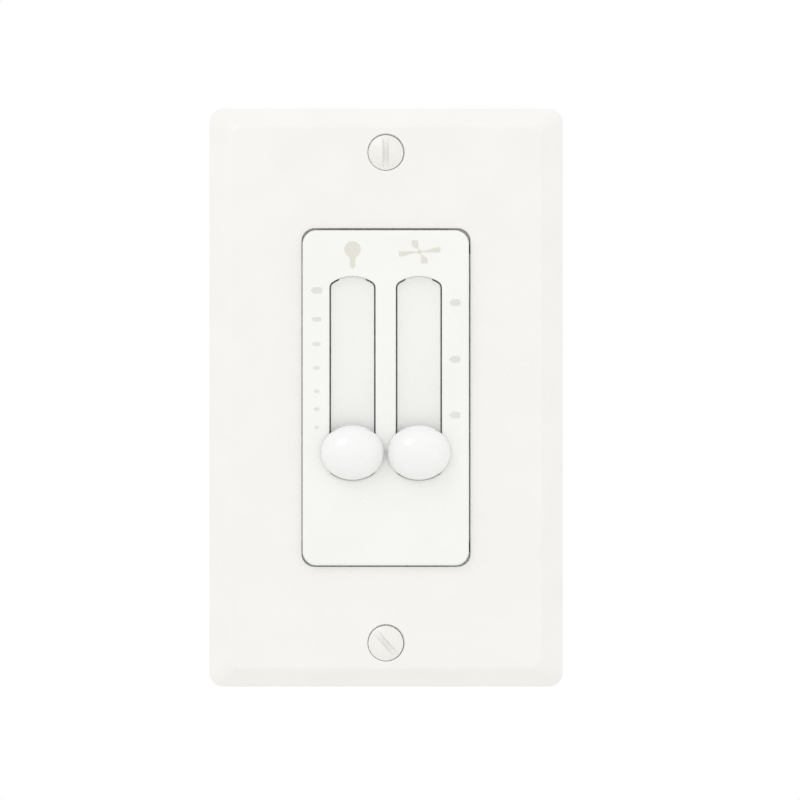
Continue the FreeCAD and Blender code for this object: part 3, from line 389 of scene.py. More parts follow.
def leaded(name, bands, roughness, axis, edge_mm, ior=1.55):
    """Component body with tinned leads in one shape: beyond edge_mm along an axis it is metal.

    The bands are (distance in mm, colour) steps along that axis, counted from its middle on an
    axial part. A 2.5 mm cloud lightens and darkens them by a few percent."""
    made, tree, place = start_material(name)
    along = add(tree, "SeparateXYZ", {"Vector": place}).outputs[axis]
    beyond = "LESS_THAN"
    if axis == "Z":
        along = add(tree, "Math", {0: along}, operation="ABSOLUTE").outputs[0]
        beyond = "GREATER_THAN"
    is_lead = add(tree, "Math", {0: along, 1: edge_mm * MM}, operation=beyond).outputs[0]
    cloud = add(tree, "TexNoise", {"Vector": place, "Scale": 1 / (2.5 * MM)}).outputs["Fac"]
    shade = linear(bands[0][1])
    for distance, colour in bands[1:]:
        past = add(tree, "Math", {0: along, 1: distance * MM}, operation="GREATER_THAN").outputs[0]
        shade = add(tree, "Mix", {0: past, 6: shade, 7: linear(colour)}, data_type="RGBA").outputs[2]
    value = add(tree, "MapRange", {"Value": cloud, "From Min": 0.3, "From Max": 0.7, "To Min": 0.94,
                                   "To Max": 1.04}).outputs["Result"]
    shade = add(tree, "HueSaturation", {"Color": shade, "Value": value}).outputs["Color"]
    shade = add(tree, "Mix", {0: is_lead, 6: shade, 7: linear("#CFCDC8")}, data_type="RGBA").outputs[2]
    gloss = add(tree, "MapRange", {"Value": cloud, "From Min": 0.3, "From Max": 0.7,
                                   "To Min": roughness - 0.04, "To Max": roughness + 0.06}).outputs["Result"]
    grain = add(tree, "TexNoise", {"Vector": place, "Scale": 1 / (0.5 * MM)}).outputs["Fac"]
    bump = add(tree, "Bump", {"Height": grain, "Distance": 0.004 * MM, "Strength": 1.0}).outputs["Normal"]
    shader = add(tree, "BsdfPrincipled", {"Base Color": shade, "Roughness": gloss, "Metallic": is_lead,
                                          "IOR": ior, "Normal": bump})
    add(tree, "OutputMaterial", {"Surface": shader.outputs["BSDF"]})
    return made


board_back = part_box("circuit_board")[1][1] / MM
body_start = board_back + 0.45
# Polyester film in flame-proof resin: yellow or grey box, semi-gloss, slightly uneven.
yellow_box = leaded("yellow_resin_box", [(0, "#D9A92C")], 0.36, "Y", body_start)
wear(yellow_box, "noise_capacitor", "timing_capacitors")
grey_box = leaded("grey_resin_box", [(0, "#8C9094")], 0.4, "Y", body_start)
wear(grey_box, "fan_capacitor_low", "fan_capacitor_medium")
# Conformal-coated film resistor: buff enamel with fired colour rings.
wear(leaded("banded_film_resistor", [(0, "#8C5A2E"), (0.35, "#C8B48A"), (1.0, "#B23A2B"), (1.5, "#C8B48A"),
                                     (2.1, "#27272A"), (2.6, "#C8B48A")], 0.32, "Z", 3.15), "resistors")
# Glass bead: deep blue and wet-looking, with a dark band at each end.
wear(leaded("blue_glass_bead", [(0, "#3B5C86"), (1.2, "#22304A")], 0.1, "Z", 2.05, ior=1.52), "diac")
# Glazed steatite tube: china white, faintly grey where the caps begin.
wear(leaded("glazed_steatite", [(0, "#E6E3DA"), (3.4, "#B9B7B0")], 0.22, "Z", 3.95, ior=1.6), "thermal_fuse")
# Blue thermoset moulding, satin all over.
wear(leaded("blue_thermoset", [(0, "#2B5FA8")], 0.42, "Y", body_start), "trimmer")

# ---- back housing ----
# Phenolic tub, compression-moulded in black, that boxes in the live parts behind the yoke.
# Four posts take its screws, pockets in its sides hold the terminals, and slits let heat out.

# Mineral-filled phenolic: near-black with faint grey flow clouds and a 0.5 mm orange peel.
wear(moulded("black_phenolic", "#303133", "#27282A", 0.5, 0.5, 0.012, ior=1.6), "back_housing")

# ---- housing screws ----
# Four pan-head thread-forming screws, zinc-plated steel, sunk in counterbores in the back.
# They run the whole depth of the posts and bite into the yoke.

turn = np.linspace(0, 2 * math.pi, 64, endpoint=False)


def round_stretch(profile):
    """Plain round length of a screw from (radius, distance from the head's top) rows."""
    rows = np.array(profile, dtype=float)
    return np.repeat(rows[:, :1], len(turn), axis=1), rows[:, 1]


def thread(root, crest, pitch, start, end):
    """Threaded length: the radius is the root's plus the depth times a clipped triangle wave of
    distance / pitch less angle / one turn, fading out over one pitch at both ends."""
    distance = np.arange(start, end, pitch / 8)
    phase = (distance[:, None] / pitch - turn[None] / (2 * math.pi)) % 1
    ridge = np.clip((0.8 - np.abs(2 * phase - 1)) / 0.65, 0, 1)
    fade = np.clip(np.minimum(distance - start, end - distance) / pitch, 0, 1)
    return root + (crest - root) * ridge * fade[:, None], distance


def screw_shape(*stretches):
    """Closed surface from stretches: distance along the screw, then two directions across it."""
    radius = np.concatenate([r for r, d in stretches])
    distance = np.concatenate([d for r, d in stretches])[:, None] + 0 * radius
    loops = np.stack([distance, radius * np.cos(turn), radius * np.sin(turn)], axis=-1)
    return [skin(loops), lid(loops[0]), lid(loops[-1])]


def triangles_of(mesh):
    """A mesh's surface as points and triangles; the mesh itself is thrown away."""
    mesh.calc_loop_triangles()
    points = np.empty(3 * len(mesh.vertices), dtype=np.float32)
    mesh.vertices.foreach_get("co", points)
    triangles = np.empty(3 * len(mesh.loop_triangles), dtype=np.int32)
    mesh.loop_triangles.foreach_get("vertices", triangles)
    bpy.data.meshes.remove(mesh)
    return points.reshape(-1, 3).astype(float), triangles.reshape(-1, 3)


def groove(width, length, floor, angle):
    """Cutter for a driver slot: a bar across the head from above it to the slot's floor."""
    along = np.array([math.cos(angle), math.sin(angle)]) * length / 2
    across = np.array([-math.sin(angle), math.cos(angle)]) * width / 2
    flat = np.array([along + across, across - along, -along - across, along - across])
    above, below = (np.column_stack([np.full(4, d), flat]) for d in (-2.0, floor))
    return [skin([above, below]), lid(above), lid(below)]


def carved(parts, cutters):
    """The closed shape less each cutter, as points and triangles."""
    solids = [closed_mesh("blank", shape, 1.0) for shape in [parts] + cutters]
    blank, *tools = [bpy.data.objects.new("blank", solid) for solid in solids]
    for item in (blank, *tools):
        bpy.context.scene.collection.objects.link(item)
    for tool in tools:
        boolean = blank.modifiers.new("cut", "BOOLEAN")
        boolean.object = tool
        boolean.operation = "DIFFERENCE"
        boolean.solver = "EXACT"
    graph = bpy.context.evaluated_depsgraph_get()
    shape = bpy.data.meshes.new_from_object(blank.evaluated_get(graph))
    surface = triangles_of(shape)
    for item in (blank, *tools):
        bpy.data.objects.remove(item)
    return surface


def from_behind(shape, x, top, z):
    """Puts a screw's shape in from the back, its head's top at a depth."""
    points, faces = shape
    d, a, b = points.T
    return np.stack([x - b, top - d, z + a], axis=1), faces


tapper_head_r = 2.4
self_tapper = carved(
    screw_shape(round_stretch([(0.05, 0), (1.0, 0.03), (1.8, 0.17), (2.2, 0.42), (tapper_head_r, 0.8),
                               (tapper_head_r, 1.68), (2.32, 1.75), (0.95, 1.75)]),
                thread(0.95, 1.27, 1.06, 1.85, 27.0), round_stretch([(0.8, 27.3), (0.3, 27.75)])),
    [groove(0.7, 2.8, 1.15, 0), groove(0.7, 2.8, 1.15, math.pi / 2)])
screw_high = np.array(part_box("housing_screws")[1]) / MM
post_x, post_z = screw_high[0] - tapper_head_r, screw_high[2] - tapper_head_r
piece("housing_screws_threaded",
      [from_behind(self_tapper, side_x * post_x, screw_high[1], side_z * post_z)
       for side_x in (-1, 1) for side_z in (-1, 1)],
      "device", zinc_plate, ["housing_screws"])

# ---- side terminals ----
# Three brass plates with tails to the board, each with a square clamp and a slotted screw
# that draws it down on the wire.

# Stamped brass: yellow metal with a faint brown bloom and fine marks from the die.
stamped_brass = metal("stamped_brass", "#D2B268", "#B9954C", 0.28, 0.25, (1, 1, 1), 0.002)
wear(stamped_brass, "terminal_plates", "terminal_clamps")


def from_side(shape, side, top, y, z):
    """Puts a screw's shape in from one side, its head's top at a distance from the middle."""
    points, faces = shape
    d, a, b = points.T
    return np.stack([side * (top - d), y + a, z - side * b], axis=1), faces


pitch_32 = 0.794
slot_turn = math.radians(118)


def binding_screw(head_r, head_h, neck_r, root, crest, thread_end):
    """Screw with 32 threads to the inch and a slotted head, rounded over half a millimetre."""
    head = [(0.05, 0), (head_r - 0.8, 0), (head_r - 0.35, 0.07), (head_r - 0.1, 0.24), (head_r, 0.5),
            (head_r, head_h - 0.1), (head_r - 0.08, head_h), (neck_r, head_h)]
    tip = [(neck_r - 0.05, thread_end + 0.05), (neck_r - 0.25, thread_end + 0.2)]
    shape = screw_shape(round_stretch(head), thread(root, crest, pitch_32, head_h + 0.05, thread_end),
                        round_stretch(tip))
    return carved(shape, [groove(1.1, 9, 0.9, -slot_turn)])


wire_head_r = 3.7
wire_screw = binding_screw(wire_head_r, 2.0, 1.6, 1.6, 2.0, 5.8)
terminal_low, terminal_high = (np.array(corner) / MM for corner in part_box("terminal_screws"))
terminal_y = (terminal_low[1] + terminal_high[1]) / 2
terminal_z = terminal_high[2] - wire_head_r
# Turned brass: brighter than the plates, with fine marks left by the tool.
turned_brass = metal("turned_brass", "#D8BA72", "#C2A05A", 0.22, 0.2, (1, 1, 1), 0.002)
piece("terminal_screws_threaded",
      [from_side(wire_screw, side, terminal_high[0], terminal_y, z)
       for side, z in ((1, terminal_z), (1, -terminal_z), (-1, 0.0))],
      "device", turned_brass, ["terminal_screws"])

# ---- ground screw ----
# Steel screw, zinc-plated and dyed green so that it can't be mistaken. It is driven into the
# yoke's folded tab and holds the bare earth wire under its head.

earth_screw = binding_screw(3.6, 2.2, 1.5, 1.48, 1.9, 8.0)
ground_low, ground_high = (np.array(corner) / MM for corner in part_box("ground_screw"))
# Dyed zinc: clear green over bright metal, darker where the dye pooled.
dyed_zinc = metal("green_dyed_zinc", "#2F8A48", "#236B36", 0.3, 0.4, (1, 1, 1), 0.002, coat=0.4)
piece("ground_screw_threaded",
      [from_side(earth_screw, 1, ground_high[0], (ground_low[1] + ground_high[1]) / 2,
                 (ground_low[2] + ground_high[2]) / 2)],
      "device", dyed_zinc, ["ground_screw"])

# ---- wall-box screws ----
# Two pan-head 6-32 screws with a combination recess. A relieved neck and a fibre washer
# behind the yoke keep them captive until they are driven into the wall box.

def from_front(shape, x, top, z):
    """Puts a screw's shape in from the front, its head's top at a depth."""
    points, faces = shape
    d, a, b = points.T
    return np.stack([x + b, top + d, z + a], axis=1), faces


box_head_r = 3.4
box_screw = carved(
    screw_shape(round_stretch([(0.05, 0), (2.5, 0), (2.95, 0.12), (3.25, 0.4), (box_head_r, 0.8),
                               (box_head_r, 1.36), (3.34, 1.4), (1.4, 1.4), (1.4, 3.6), (1.27, 3.75)]),
                thread(1.27, 1.75, pitch_32, 3.8, 26.2), round_stretch([(1.2, 26.4), (1.0, 26.8)])),
    [groove(1.0, 8, 0.8, 0), groove(1.0, 4.4, 0.8, math.pi / 2)])
box_low, box_high = (np.array(corner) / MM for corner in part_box("box_screws"))
piece("box_screws_threaded",
      [from_front(box_screw, 0, box_low[1], side * (box_high[2] - box_head_r)) for side in (1, -1)],
      "device", zinc_plate, ["box_screws"])
wear(vulcanised_fibre, "screw_washers")

# ---- control face ----
# Injection-moulded ABS frame that stands a little proud of the plate, with two slots. It is
# hollow behind and snaps into the yoke with four hooks.

def rounded(half_w, half_h, radius, steps=10):
    """Rounded rectangle in X and Z: each corner is a quarter circle, each side a straight line."""
    quarter_turn = np.linspace(0, math.pi / 2, steps + 1)
    corners = []
    for quarter, (side_x, side_z) in enumerate(((1, 1), (-1, 1), (-1, -1), (1, -1))):
        angle = quarter_turn + quarter * math.pi / 2
        corners.append(np.stack([side_x * (half_w - radius) + radius * np.cos(angle),
                                 side_z * (half_h - radius) + radius * np.sin(angle)], axis=1))
    return np.concatenate(corners)


def lifted(outline, y):
    """The outline (X, Z) at one depth Y."""
    return np.stack([outline[:, 0], np.full(len(outline), y), outline[:, 1]], axis=1)


def flat_fill(loops):
    """Triangles over the flat region inside the first closed loop and outside the others."""
    starts = np.cumsum([0] + [len(loop) for loop in loops])
    edges = [start + np.stack([np.arange(len(loop)), np.roll(np.arange(len(loop)), -1)], axis=1)
             for start, loop in zip(starts, loops)]
    flat = bpy.data.meshes.new("flat")
    flat.from_pydata(np.concatenate(loops), np.concatenate(edges).tolist(), [])
    bm = bmesh.new()
    bm.from_mesh(flat)
    bmesh.ops.triangle_fill(bm, use_beauty=True, use_dissolve=False, edges=bm.edges[:])
    bm.to_mesh(flat)
    bm.free()
    return triangles_of(flat)


def bar(x0, x1, y0, y1, z0, z1, soft=0.25):
    """Rib with softened edges, its root sunk in the wall in front of it."""
    half_w, half_h = (x1 - x0) / 2, (z1 - z0) / 2
    centre = ((x0 + x1) / 2, (z0 + z1) / 2)
    steps = [(0, y0), (0, y1 - soft), (soft * 0.3, y1 - soft * 0.3), (soft, y1)]
    loops = [lifted(rounded(half_w - inset, half_h - inset, 0.3 - inset, 3) + centre, y)
             for inset, y in steps]
    return [skin(loops), lid(loops[0]), lid(loops[-1])]


frame_low, frame_high = (np.array(corner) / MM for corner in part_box("face_frame"))
frame_y = frame_low[1]
frame_wall = 1.6
frame_back = frame_y + frame_wall
frame_half_w = frame_high[0]
frame_half_h = 66.15 / 2
frame_corner = 2.8
skirt_end = -2.0
slot_x = 6.55
slot_half = 4.55
slot_corner = 1.4
knob_low = -10.8
travel = frame["joints"][0]["range_m"][1] / MM
knob_half = (6.25, 5.4)


def frame_outline(inset, y):
    """The face's outline pulled in by an inset, at a depth."""
    corner = max(frame_corner - inset, 0.8)
    return lifted(rounded(frame_half_w - inset, frame_half_h - inset, corner), y)


def slot_outline(grow):
    """Slot in X and Z: straight sides, ends on the knob's oval, corners rounded where they meet.

    The corner's centre is where the oval moved inward by the corner radius crosses the line
    that lies the same radius inside the straight side. The whole outline may grow or shrink."""
    a, b = knob_half[0] + 0.15 + grow, knob_half[1] + grow
    side = slot_half + grow
    corner = slot_corner + grow
    t = np.linspace(0.02, math.pi / 2, 4000)
    nx, nz = np.cos(t) / a, np.sin(t) / b
    inner_x = a * np.cos(t) - corner * nx / np.hypot(nx, nz)
    meet = np.interp(corner - side, -inner_x, t)
    tilt = math.atan2(math.sin(meet) / b, math.cos(meet) / a)
    corner_z = b * math.sin(meet) - corner * math.sin(tilt)
    swing = np.linspace(0, tilt, 9)
    round_corner = np.stack([side - corner + corner * np.cos(swing),
                             corner_z + corner * np.sin(swing)], axis=1)
    sweep = np.linspace(meet, math.pi - meet, 28)[1:-1]
    oval = np.stack([a * np.cos(sweep), b * np.sin(sweep)], axis=1)
    top = np.concatenate([round_corner, oval, round_corner[::-1] * (-1, 1)])
    low = top[::-1] * (1, -1)
    return np.concatenate([top + (0, knob_low + travel), low + (0, knob_low)])


def eased(radius, steps):
    """(Inset, depth) pairs round a quarter circle between a flat front and an upright side."""
    return [(radius * (1 - math.sin(t)), radius * (1 - math.cos(t)))
            for t in np.linspace(0, math.pi / 2, steps)]


outside = [frame_outline(1.4, frame_y)]
outside += [frame_outline(inset, frame_y + depth) for inset, depth in eased(0.6, 8)]
outside += [frame_outline(inset, y) for inset, y in (
    (0, skirt_end - 0.1), (0.1, skirt_end), (1.4, skirt_end), (1.5, skirt_end - 0.1), (1.5, frame_back + 0.3),
    (1.6, frame_back + 0.1), (1.8, frame_back))]


def slot_wall(x):
    """Slot's edge with a 0.22 mm round in front, through the face's thickness."""
    steps = [(0.6, frame_y)] + [(grow, frame_y + depth) for grow, depth in eased(0.22, 6)] + [(0, frame_back)]
    return [lifted(slot_outline(grow) + (x, 0), y) for grow, y in steps]


slot_walls = [slot_wall(-slot_x), slot_wall(slot_x)]
frame_parts = [skin(outside), skin(slot_walls[0]), skin(slot_walls[1]),
               flat_fill([outside[0], slot_walls[0][0], slot_walls[1][0]]),
               flat_fill([outside[-1], slot_walls[0][-1], slot_walls[1][-1]])]
flange_half, flange_start = 14, 32.4
hook_x, hook_z, hook_tip = 12.8, 25.0, frame_high[1]
hook_half, barb_reach = 1.5, 1.5
yoke_back = -0.5
for side in (-1, 1):
    flange_z = sorted((side * flange_start, side * frame_high[2]))
    frame_parts += bar(-flange_half, flange_half, skirt_end - 1.2, skirt_end, *flange_z)
    hook_span = (side * hook_z - hook_half, side * hook_z + hook_half)
    for x in (-hook_x, hook_x):
        frame_parts += bar(x - 0.8, x + 0.8, frame_back - 0.2, hook_tip, *hook_span)
        barb_x = sorted((x, x + math.copysign(barb_reach, x)))
        frame_parts += bar(*barb_x, yoke_back, yoke_back + 0.7, *hook_span, 0.1)
# Bright white ABS: even, semi-gloss, with a texture so fine that it only softens reflections.
face_abs = moulded("white_abs", "#F4F4F1", "#F2F2EF", 0.27, 0.3, 0.0012)
piece("face_frame_moulding", frame_parts, "device", face_abs, ["face_frame"])

# ---- printed marks ----
# Grey ink, pad-printed on the face: a bulb over the dimmer, a fan over the speed control,
# seven marks down the left that grow towards full light, and three for the fan's speeds.

ink_front = frame_y - 0.012
ink_root = frame_y + 0.05


def inked(outline):
    """A closed outline (X, Z) as a thin pad of ink whose root is sunk in the face."""
    front, root = lifted(outline, ink_front), lifted(outline, ink_root)
    return [skin([front, root]), lid(front), lid(root)]


def ring(x, z, radius, start=0.0, stop=2 * math.pi, steps=40):
    """Points along a circle's arc."""
    angle = np.linspace(start, stop, steps, endpoint=stop - start < 6.2)
    return np.stack([x + radius * np.cos(angle), z + radius * np.sin(angle)], axis=1)


def bulb():
    """Glass circle and cap circle, joined on each side by an arc that curves in to the neck.

    The neck's arc touches the glass circle from outside, so its centre is both radii away."""
    x, glass_z, glass_r, cap_z, cap_r, neck_r = -6.53, 29.3, 1.62, 26.1, 0.52, 1.0
    neck_x = cap_r + neck_r
    lean = math.acos(neck_x / (glass_r + neck_r))
    neck_z = glass_z - (glass_r + neck_r) * math.sin(lean)
    return np.concatenate([ring(x, glass_z, glass_r, -lean, math.pi + lean, 30),
                           ring(x - neck_x, neck_z, neck_r, lean, 0, 8)[1:],
                           ring(x, cap_z, cap_r, math.pi, 2 * math.pi, 12),
                           ring(x + neck_x, neck_z, neck_r, math.pi, math.pi - lean, 8)[:-1]])


def fan_blades():
    """Hub, a long blade and a short blade; each blade again, turned half way round."""
    hub = np.array([6.68, 28.8])
    long_blade = np.array([(0.5, -0.08), (4.1, -0.12), (4.1, 0.9), (3.2, 0.9), (1.6, 0.35), (0.5, 0.12)])
    short_blade = np.array([(-0.26, 0.6), (-0.3, 2.28), (-1.63, 2.28), (-1.5, 1.2), (-0.55, 0.6)])
    blades = [hub + half * blade for blade in (long_blade, short_blade) for half in (1, -1)]
    return blades + [ring(*hub, 0.48, steps=24)]


def pointer(x, z, width, height):
    """Mark with a point at its left and two clipped corners at its right."""
    point, clip = min(0.55 * height, 0.4 * width), 0.25 * height
    half_w, half_h = width / 2, height / 2
    outline = np.array([(-half_w, 0), (-half_w + point, -half_h), (half_w - clip, -half_h),
                        (half_w, -half_h + clip), (half_w, half_h - clip), (half_w - clip, half_h),
                        (-half_w + point, half_h)])
    return outline + (x, z)


light_marks = [(21.2, 2.4, 1.25), (15.5, 1.95, 0.84), (10.6, 1.7, 0.8), (5.9, 1.25, 0.75), (1.3, 1.2, 0.7),
               (-2.2, 1.2, 0.7), (-5.8, 0.9, 0.7)]
fan_marks = [(z, 2.3, 1.3) for z in (18.8, 7.6, -3.4)]
# Cured pad-printing inks: flat, a touch uneven from the pad. The two symbols are a warm grey
# and the marks beside the slots a neutral one.
symbol_ink = moulded("warm_grey_ink", "#E3E1D7", "#DFDDD3", 0.5, 0.2, 0.001, ior=1.5)
mark_ink = moulded("neutral_grey_ink", "#E1E1DE", "#DDDDDA", 0.5, 0.2, 0.001, ior=1.5)
for name, outlines, ink in (("print_bulb", [bulb()], symbol_ink), ("print_fan", fan_blades(), symbol_ink),
                            ("print_light_marks", [pointer(-13.7, *mark) for mark in light_marks], mark_ink),
                            ("print_fan_marks", [pointer(13.6, *mark) for mark in fan_marks], mark_ink)):
    piece(name, [part for outline in outlines for part in inked(outline)], "device", ink)

# ---- slot liners ----
# Dished ABS strips set 1.2 mm back in the slots. Each leaves a slit down both sides for the
# slider's arms and meets the slot only across the middle of its ends.

liner_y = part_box("slot_liner_light")[0][1] / MM
liner_t = 1.4
dish = 0.4
slit = 0.28
bridge_half = 2.6


def liner_outline(inset):
    """The slot's outline less the slit, but out to the slot's own edge across each end's middle."""
    near, far = slot_outline(-slit - inset), slot_outline(-0.01 - inset)
    return np.where(np.abs(near[:, 0:1]) < bridge_half, far, near)


def floor_ring(share):
    """Ring of the dished floor: squeezed across to a share of its width, its ends drawn in by
    up to 3 mm, and sunk by the dish times one less the fourth power of the share."""
    middle = knob_low + travel / 2
    half_length = travel / 2 + knob_half[1]
    flat = slot_outline(-slit - 0.2) - (0, middle)
    flat = flat * (share, 1 - (1 - share) * 3.0 / half_length) + (0, middle)
    return lifted(flat, liner_y + dish * (1 - share ** 4))


def liner_strip(x):
    """Back, step out to the bridges, edge with a 0.1 mm round, and the dished floor. Behind the
    face each end has a T-shaped pad, whose stem lies behind the bridge."""
    loops = [lifted(slot_outline(-slit), liner_y + liner_t), lifted(slot_outline(-slit), frame_back)]
    loops += [lifted(liner_outline(inset), y) for inset, y in (
        (0, frame_back), (0, liner_y + 0.1), (0.03, liner_y + 0.03), (0.12, liner_y))]
    loops += [floor_ring(share) for share in (1.0, 0.94, 0.86, 0.76, 0.64, 0.5, 0.34, 0.18, 0.04)]
    loops = np.array(loops) + (x, 0, 0)
    parts = [skin(loops), lid(loops[0]), lid(loops[-1])]
    for side, z in ((1, knob_low + travel), (-1, knob_low)):
        for half, start, stop in ((bridge_half, 3.2, 6.4), (5.2, 6.0, 7.8)):
            span = sorted((z + side * start, z + side * stop))
            parts += bar(x - half, x + half, frame_back, liner_y + liner_t, *span, 0.1)
    return parts


# The same ABS from a less polished tool: a shade greyer and softer in its shine.
liner_abs = moulded("satin_white_abs", "#F2F2F0", "#F0F0EE", 0.35, 0.3, 0.0012)
for name, x in (("light", -slot_x), ("fan", slot_x)):
    piece("slot_liner_" + name + "_moulding", liner_strip(x), "device", liner_abs,
          ["slot_liner_" + name])

# ---- clips and carriages ----
# A bent spring-steel strip is staked under each knob, and its arms pass through the slits into
# a nylon carriage that pushes the control's lever.

# Tempered strip: dark silver with a straw tint from the oven.
tempered_strip = metal("tempered_spring_steel", "#ADAFB1", "#9C9A92", 0.27, 0.12, (10, 1, 1), 0.001)
wear(tempered_strip, "clip_light", "clip_fan")
wear(natural_nylon, "carriage_light", "carriage_fan")

# ---- knobs ----
# Glossy oval domes moulded in ABS, thin-walled, each with a boss inside whose stake is melted
# over the clip.

knob_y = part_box("knob_light")[1][1] / MM
knob_rise = 4.6
knob_wall = 0.9


def knob_dome(x):
    """Dome: half widths shrink as the cosine and the height grows as the sine of one angle."""
    circle = np.stack([np.cos(turn), np.sin(turn)], axis=1)

    def oval(share, inset, y):
        """The knob's outline pulled in by an inset, times a share, at a depth."""
        return lifted(circle * (np.array(knob_half) - inset) * share + (x, knob_low), y)

    loops = [oval(math.cos(rise), 0, knob_y - 0.5 - knob_rise * math.sin(rise))
             for rise in np.linspace(math.radians(88.5), 0, 30)]
    loops += [oval(1, inset, knob_y - y) for inset, y in ((0, 0.2), (0.06, 0.06), (0.2, 0), (0.8, 0))]
    loops += [oval(math.cos(rise), knob_wall, knob_y - (knob_rise - knob_wall) * math.sin(rise))
              for rise in np.linspace(0, math.radians(85), 14)]
    return [skin(loops), lid(loops[0]), lid(loops[-1])] + bar(x - 2.4, x + 2.4, knob_y - 3.5, knob_y - 1.4,
                                                              knob_low - 1.3, knob_low + 1.3, 0.2)


# Polished ABS: mirror-like skin over a clean white, so the light shows as a soft hot spot.
knob_abs = moulded("polished_white_abs", "#F4F4F4", "#F2F2F2", 0.14, 0.5, 0.0004, coat=0.25)
for name, x in (("light", -slot_x), ("fan", slot_x)):
    piece("knob_" + name + "_moulding", knob_dome(x), name + "_slider", knob_abs,
          ["knob_" + name])

# ---- cover plate ----
# Moulded nylon cover: a flat face, a bevelled border that falls to the wall, an opening for
# the control, two countersunk screw holes with bosses behind, and stiffening ribs.

plate_w, plate_h = ((plate_high[i] - plate_low[i]) / 2 / MM for i in (0, 2))
plate_x, plate_z = ((plate_high[i] + plate_low[i]) / 2 / MM for i in (0, 2))
plate_face = plate_low[1] / MM
plate_wall = 2.0
plate_inner = plate_face + plate_wall
plate_corner = 2.8
bevel_side, bevel_end = 4.4, 3.6
edge_land = 1.6
opening_half = (33.3 / 2, 66.8 / 2)
opening_corner = 2.5
plate_screw_z = 96.84 / 2
screw_hole_r = 2.0
boss_r = 3.1
boss_end = -2.0


def plate_outline(inset_x, inset_z, radius, y):
    """The plate's outline, pulled in by two insets, at a depth."""
    return lifted(rounded(plate_w - inset_x, plate_h - inset_z, radius) + (plate_x, plate_z), y)


def bevel_loops():
    """Border: rounded ridge, sloping bevel, rounded lower edge, land, rim, inside wall.

    Ridge and edge are circles tangent to the bevel: the ridge turns from flat to the bevel's
    slope, the edge from the slope to upright."""
    loops = []
    slope = math.atan2(-edge_land - plate_face, bevel_side)
    ridge, edge = 1.3, 0.55
    for angle in np.linspace(0, slope, 9):
        run = ridge * math.tan(slope / 2) + bevel_side - ridge * math.sin(angle)
        share = run / bevel_side
        drop = ridge * (1 - math.cos(angle))
        loops.append(plate_outline(run, share * bevel_end, 1.9 + 0.9 * (1 - share), plate_face + drop))
    reach = edge * math.tan((math.pi / 2 - slope) / 2)
    for angle in np.linspace(slope, math.pi / 2, 7):
        run = edge * (1 - math.sin(angle))
        loops.append(plate_outline(run, run, plate_corner - run, -edge_land + reach - edge * math.cos(angle)))
    rim, rim_corner = 2.1, 1.4
    loops += [plate_outline(inset, inset, radius, y) for inset, radius, y in (
        (0, plate_corner, -0.25), (0.07, 2.75, -0.07), (0.25, 2.6, 0), (1.85, 1.6, 0), (2.03, 1.45, -0.07),
        (rim, rim_corner, -0.25), (rim, rim_corner, -edge_land))]
    loops += [plate_outline(rim + 2.0 * t, rim + 1.4 * t, rim_corner - 0.3 * t,
                            -edge_land + t * (plate_inner + edge_land)) for t in (0.3, 0.6, 0.85)]
    loops += [plate_outline(4.25, 3.55, 1.05, plate_inner + 0.12), plate_outline(4.6, 3.8, 1.0, plate_inner)]
    return loops


def opening_outline(grow, y):
    """The opening's outline, grown all round, at a depth."""
    flat = rounded(opening_half[0] + grow, opening_half[1] + grow, opening_corner + grow)
    return lifted(flat + (plate_x, plate_z), y)


def screw_hole(z):
    """Countersink, shank hole and boss as rings about one screw's axis."""
    rings = [(4.1, plate_face), (3.75, plate_face), (3.68, plate_face + 0.03), (3.65, plate_face + 0.1),
             (3.65, plate_face + 0.45), (screw_hole_r + 0.05, plate_face + 2.0),
             (screw_hole_r, plate_face + 2.2), (screw_hole_r, boss_end - 0.05),
             (screw_hole_r + 0.1, boss_end), (boss_r - 0.1, boss_end),
             (boss_r, boss_end - 0.1), (boss_r, plate_inner + 0.3), (boss_r + 0.1, plate_inner + 0.08),
             (boss_r + 0.35, plate_inner), (boss_r + 0.7, plate_inner)]
    circle = np.stack([np.cos(turn), np.sin(turn)], axis=1)
    return [lifted(circle * r + (plate_x, plate_z + z), y) for r, y in rings]


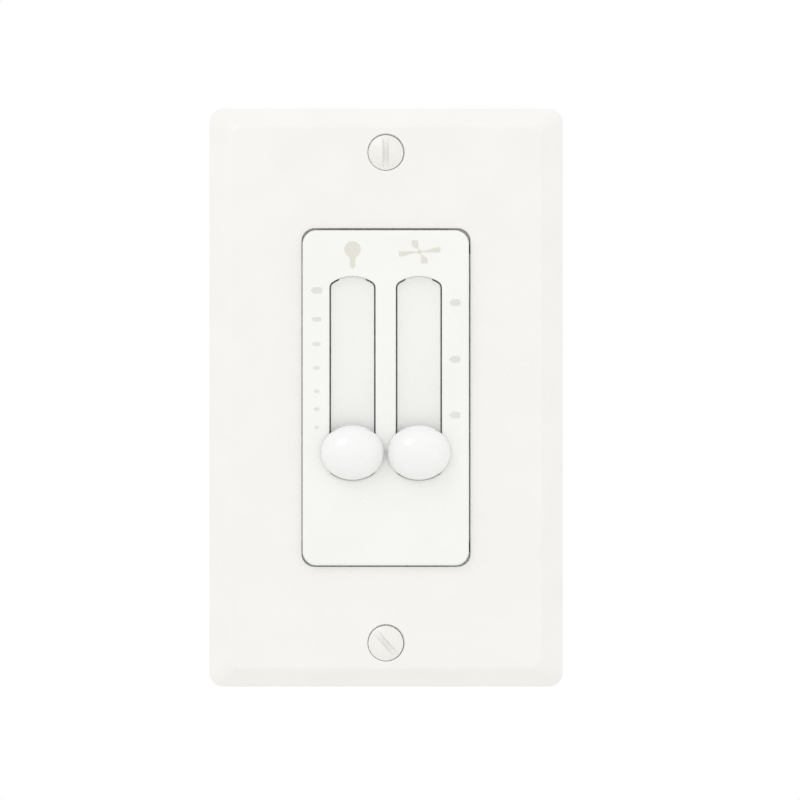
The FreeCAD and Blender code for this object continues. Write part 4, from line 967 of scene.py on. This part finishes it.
border = [plate_outline(bevel_side + 0.9, bevel_end + 0.7, 1.6, plate_face)] + bevel_loops()
mouth = [opening_outline(0.8, plate_face)]
mouth += [opening_outline(grow, plate_face + depth) for grow, depth in eased(0.12, 5)]
mouth += [opening_outline(0, plate_inner - 0.2), opening_outline(0.2, plate_inner),
          opening_outline(0.6, plate_inner)]
holes = [screw_hole(side * plate_screw_z) for side in (1, -1)]
plate_parts = [skin(border), skin(mouth), skin(holes[0]), skin(holes[1]),
               flat_fill([border[0], mouth[0], holes[0][0], holes[1][0]]),
               flat_fill([border[-1], mouth[-1], holes[0][-1], holes[1][-1]])]
rib_x, rib_z, rib_root = 26.6, 36.6, plate_inner - 0.2
long_half, cross_half = 47, 26
for side in (-1, 1):
    x, z = plate_x + side * rib_x, plate_z + side * rib_z
    plate_parts += bar(x - 0.6, x + 0.6, rib_root, -1.8, plate_z - long_half, plate_z + long_half)
    plate_parts += bar(plate_x - cross_half, plate_x + cross_half, rib_root, -2.6, z - 0.5, z + 0.5)
# Glossy nylon: warm white with a soft, even shine and no visible grain.
plate_nylon = moulded("glossy_white_nylon", "#F3F2EF", "#F1F0ED", 0.24, 0.35, 0.0012)
piece("wall_plate_moulding", plate_parts, "device", plate_nylon, ["wall_plate"])

# ---- plate screws ----
# Two slotted oval-head 6-32 screws of zinc-plated steel, threaded into the yoke's collars. Only
# the heads are enamelled to match the plate. Each slot stopped wherever its screw came up tight.

crown_h, oval_r = 0.95, 3.46
crown = [(r, crown_h * (r / oval_r) ** 2) for r in np.linspace(0.05, oval_r - 0.12, 14)]
oval_head = screw_shape(round_stretch(crown + [(oval_r - 0.02, crown_h - 0.03), (oval_r, crown_h + 0.05),
                                               (1.75, 2.92), (1.5, 3.0)]))
plate_screw_shank = carved(screw_shape(round_stretch([(1.2, 2.8)]), thread(1.27, 1.75, pitch_32, 3.05, 13.2),
                                       round_stretch([(1.15, 13.35), (0.95, 13.55)])), [])
plate_screw_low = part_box("plate_screws")[0][1] / MM
# Stove enamel on steel: the plate's own warm white, thicker and glossier, a shade greyer.
enamel = moulded("white_stove_enamel", "#F0EFEB", "#EDECE7", 0.18, 0.4, 0.001, coat=0.3)
slot_floor = 0.75
piece("plate_screw_heads",
      [from_front(carved(oval_head, [groove(1.2, 8, slot_floor, math.radians(angle))]), 0, plate_screw_low,
                  side * plate_screw_z) for side, angle in ((1, 0), (-1, -42))],
      "device", enamel, ["plate_screws"])
piece("plate_screw_shanks",
      [from_front(plate_screw_shank, 0, plate_screw_low, side * plate_screw_z) for side in (1, -1)],
      "device", zinc_plate)
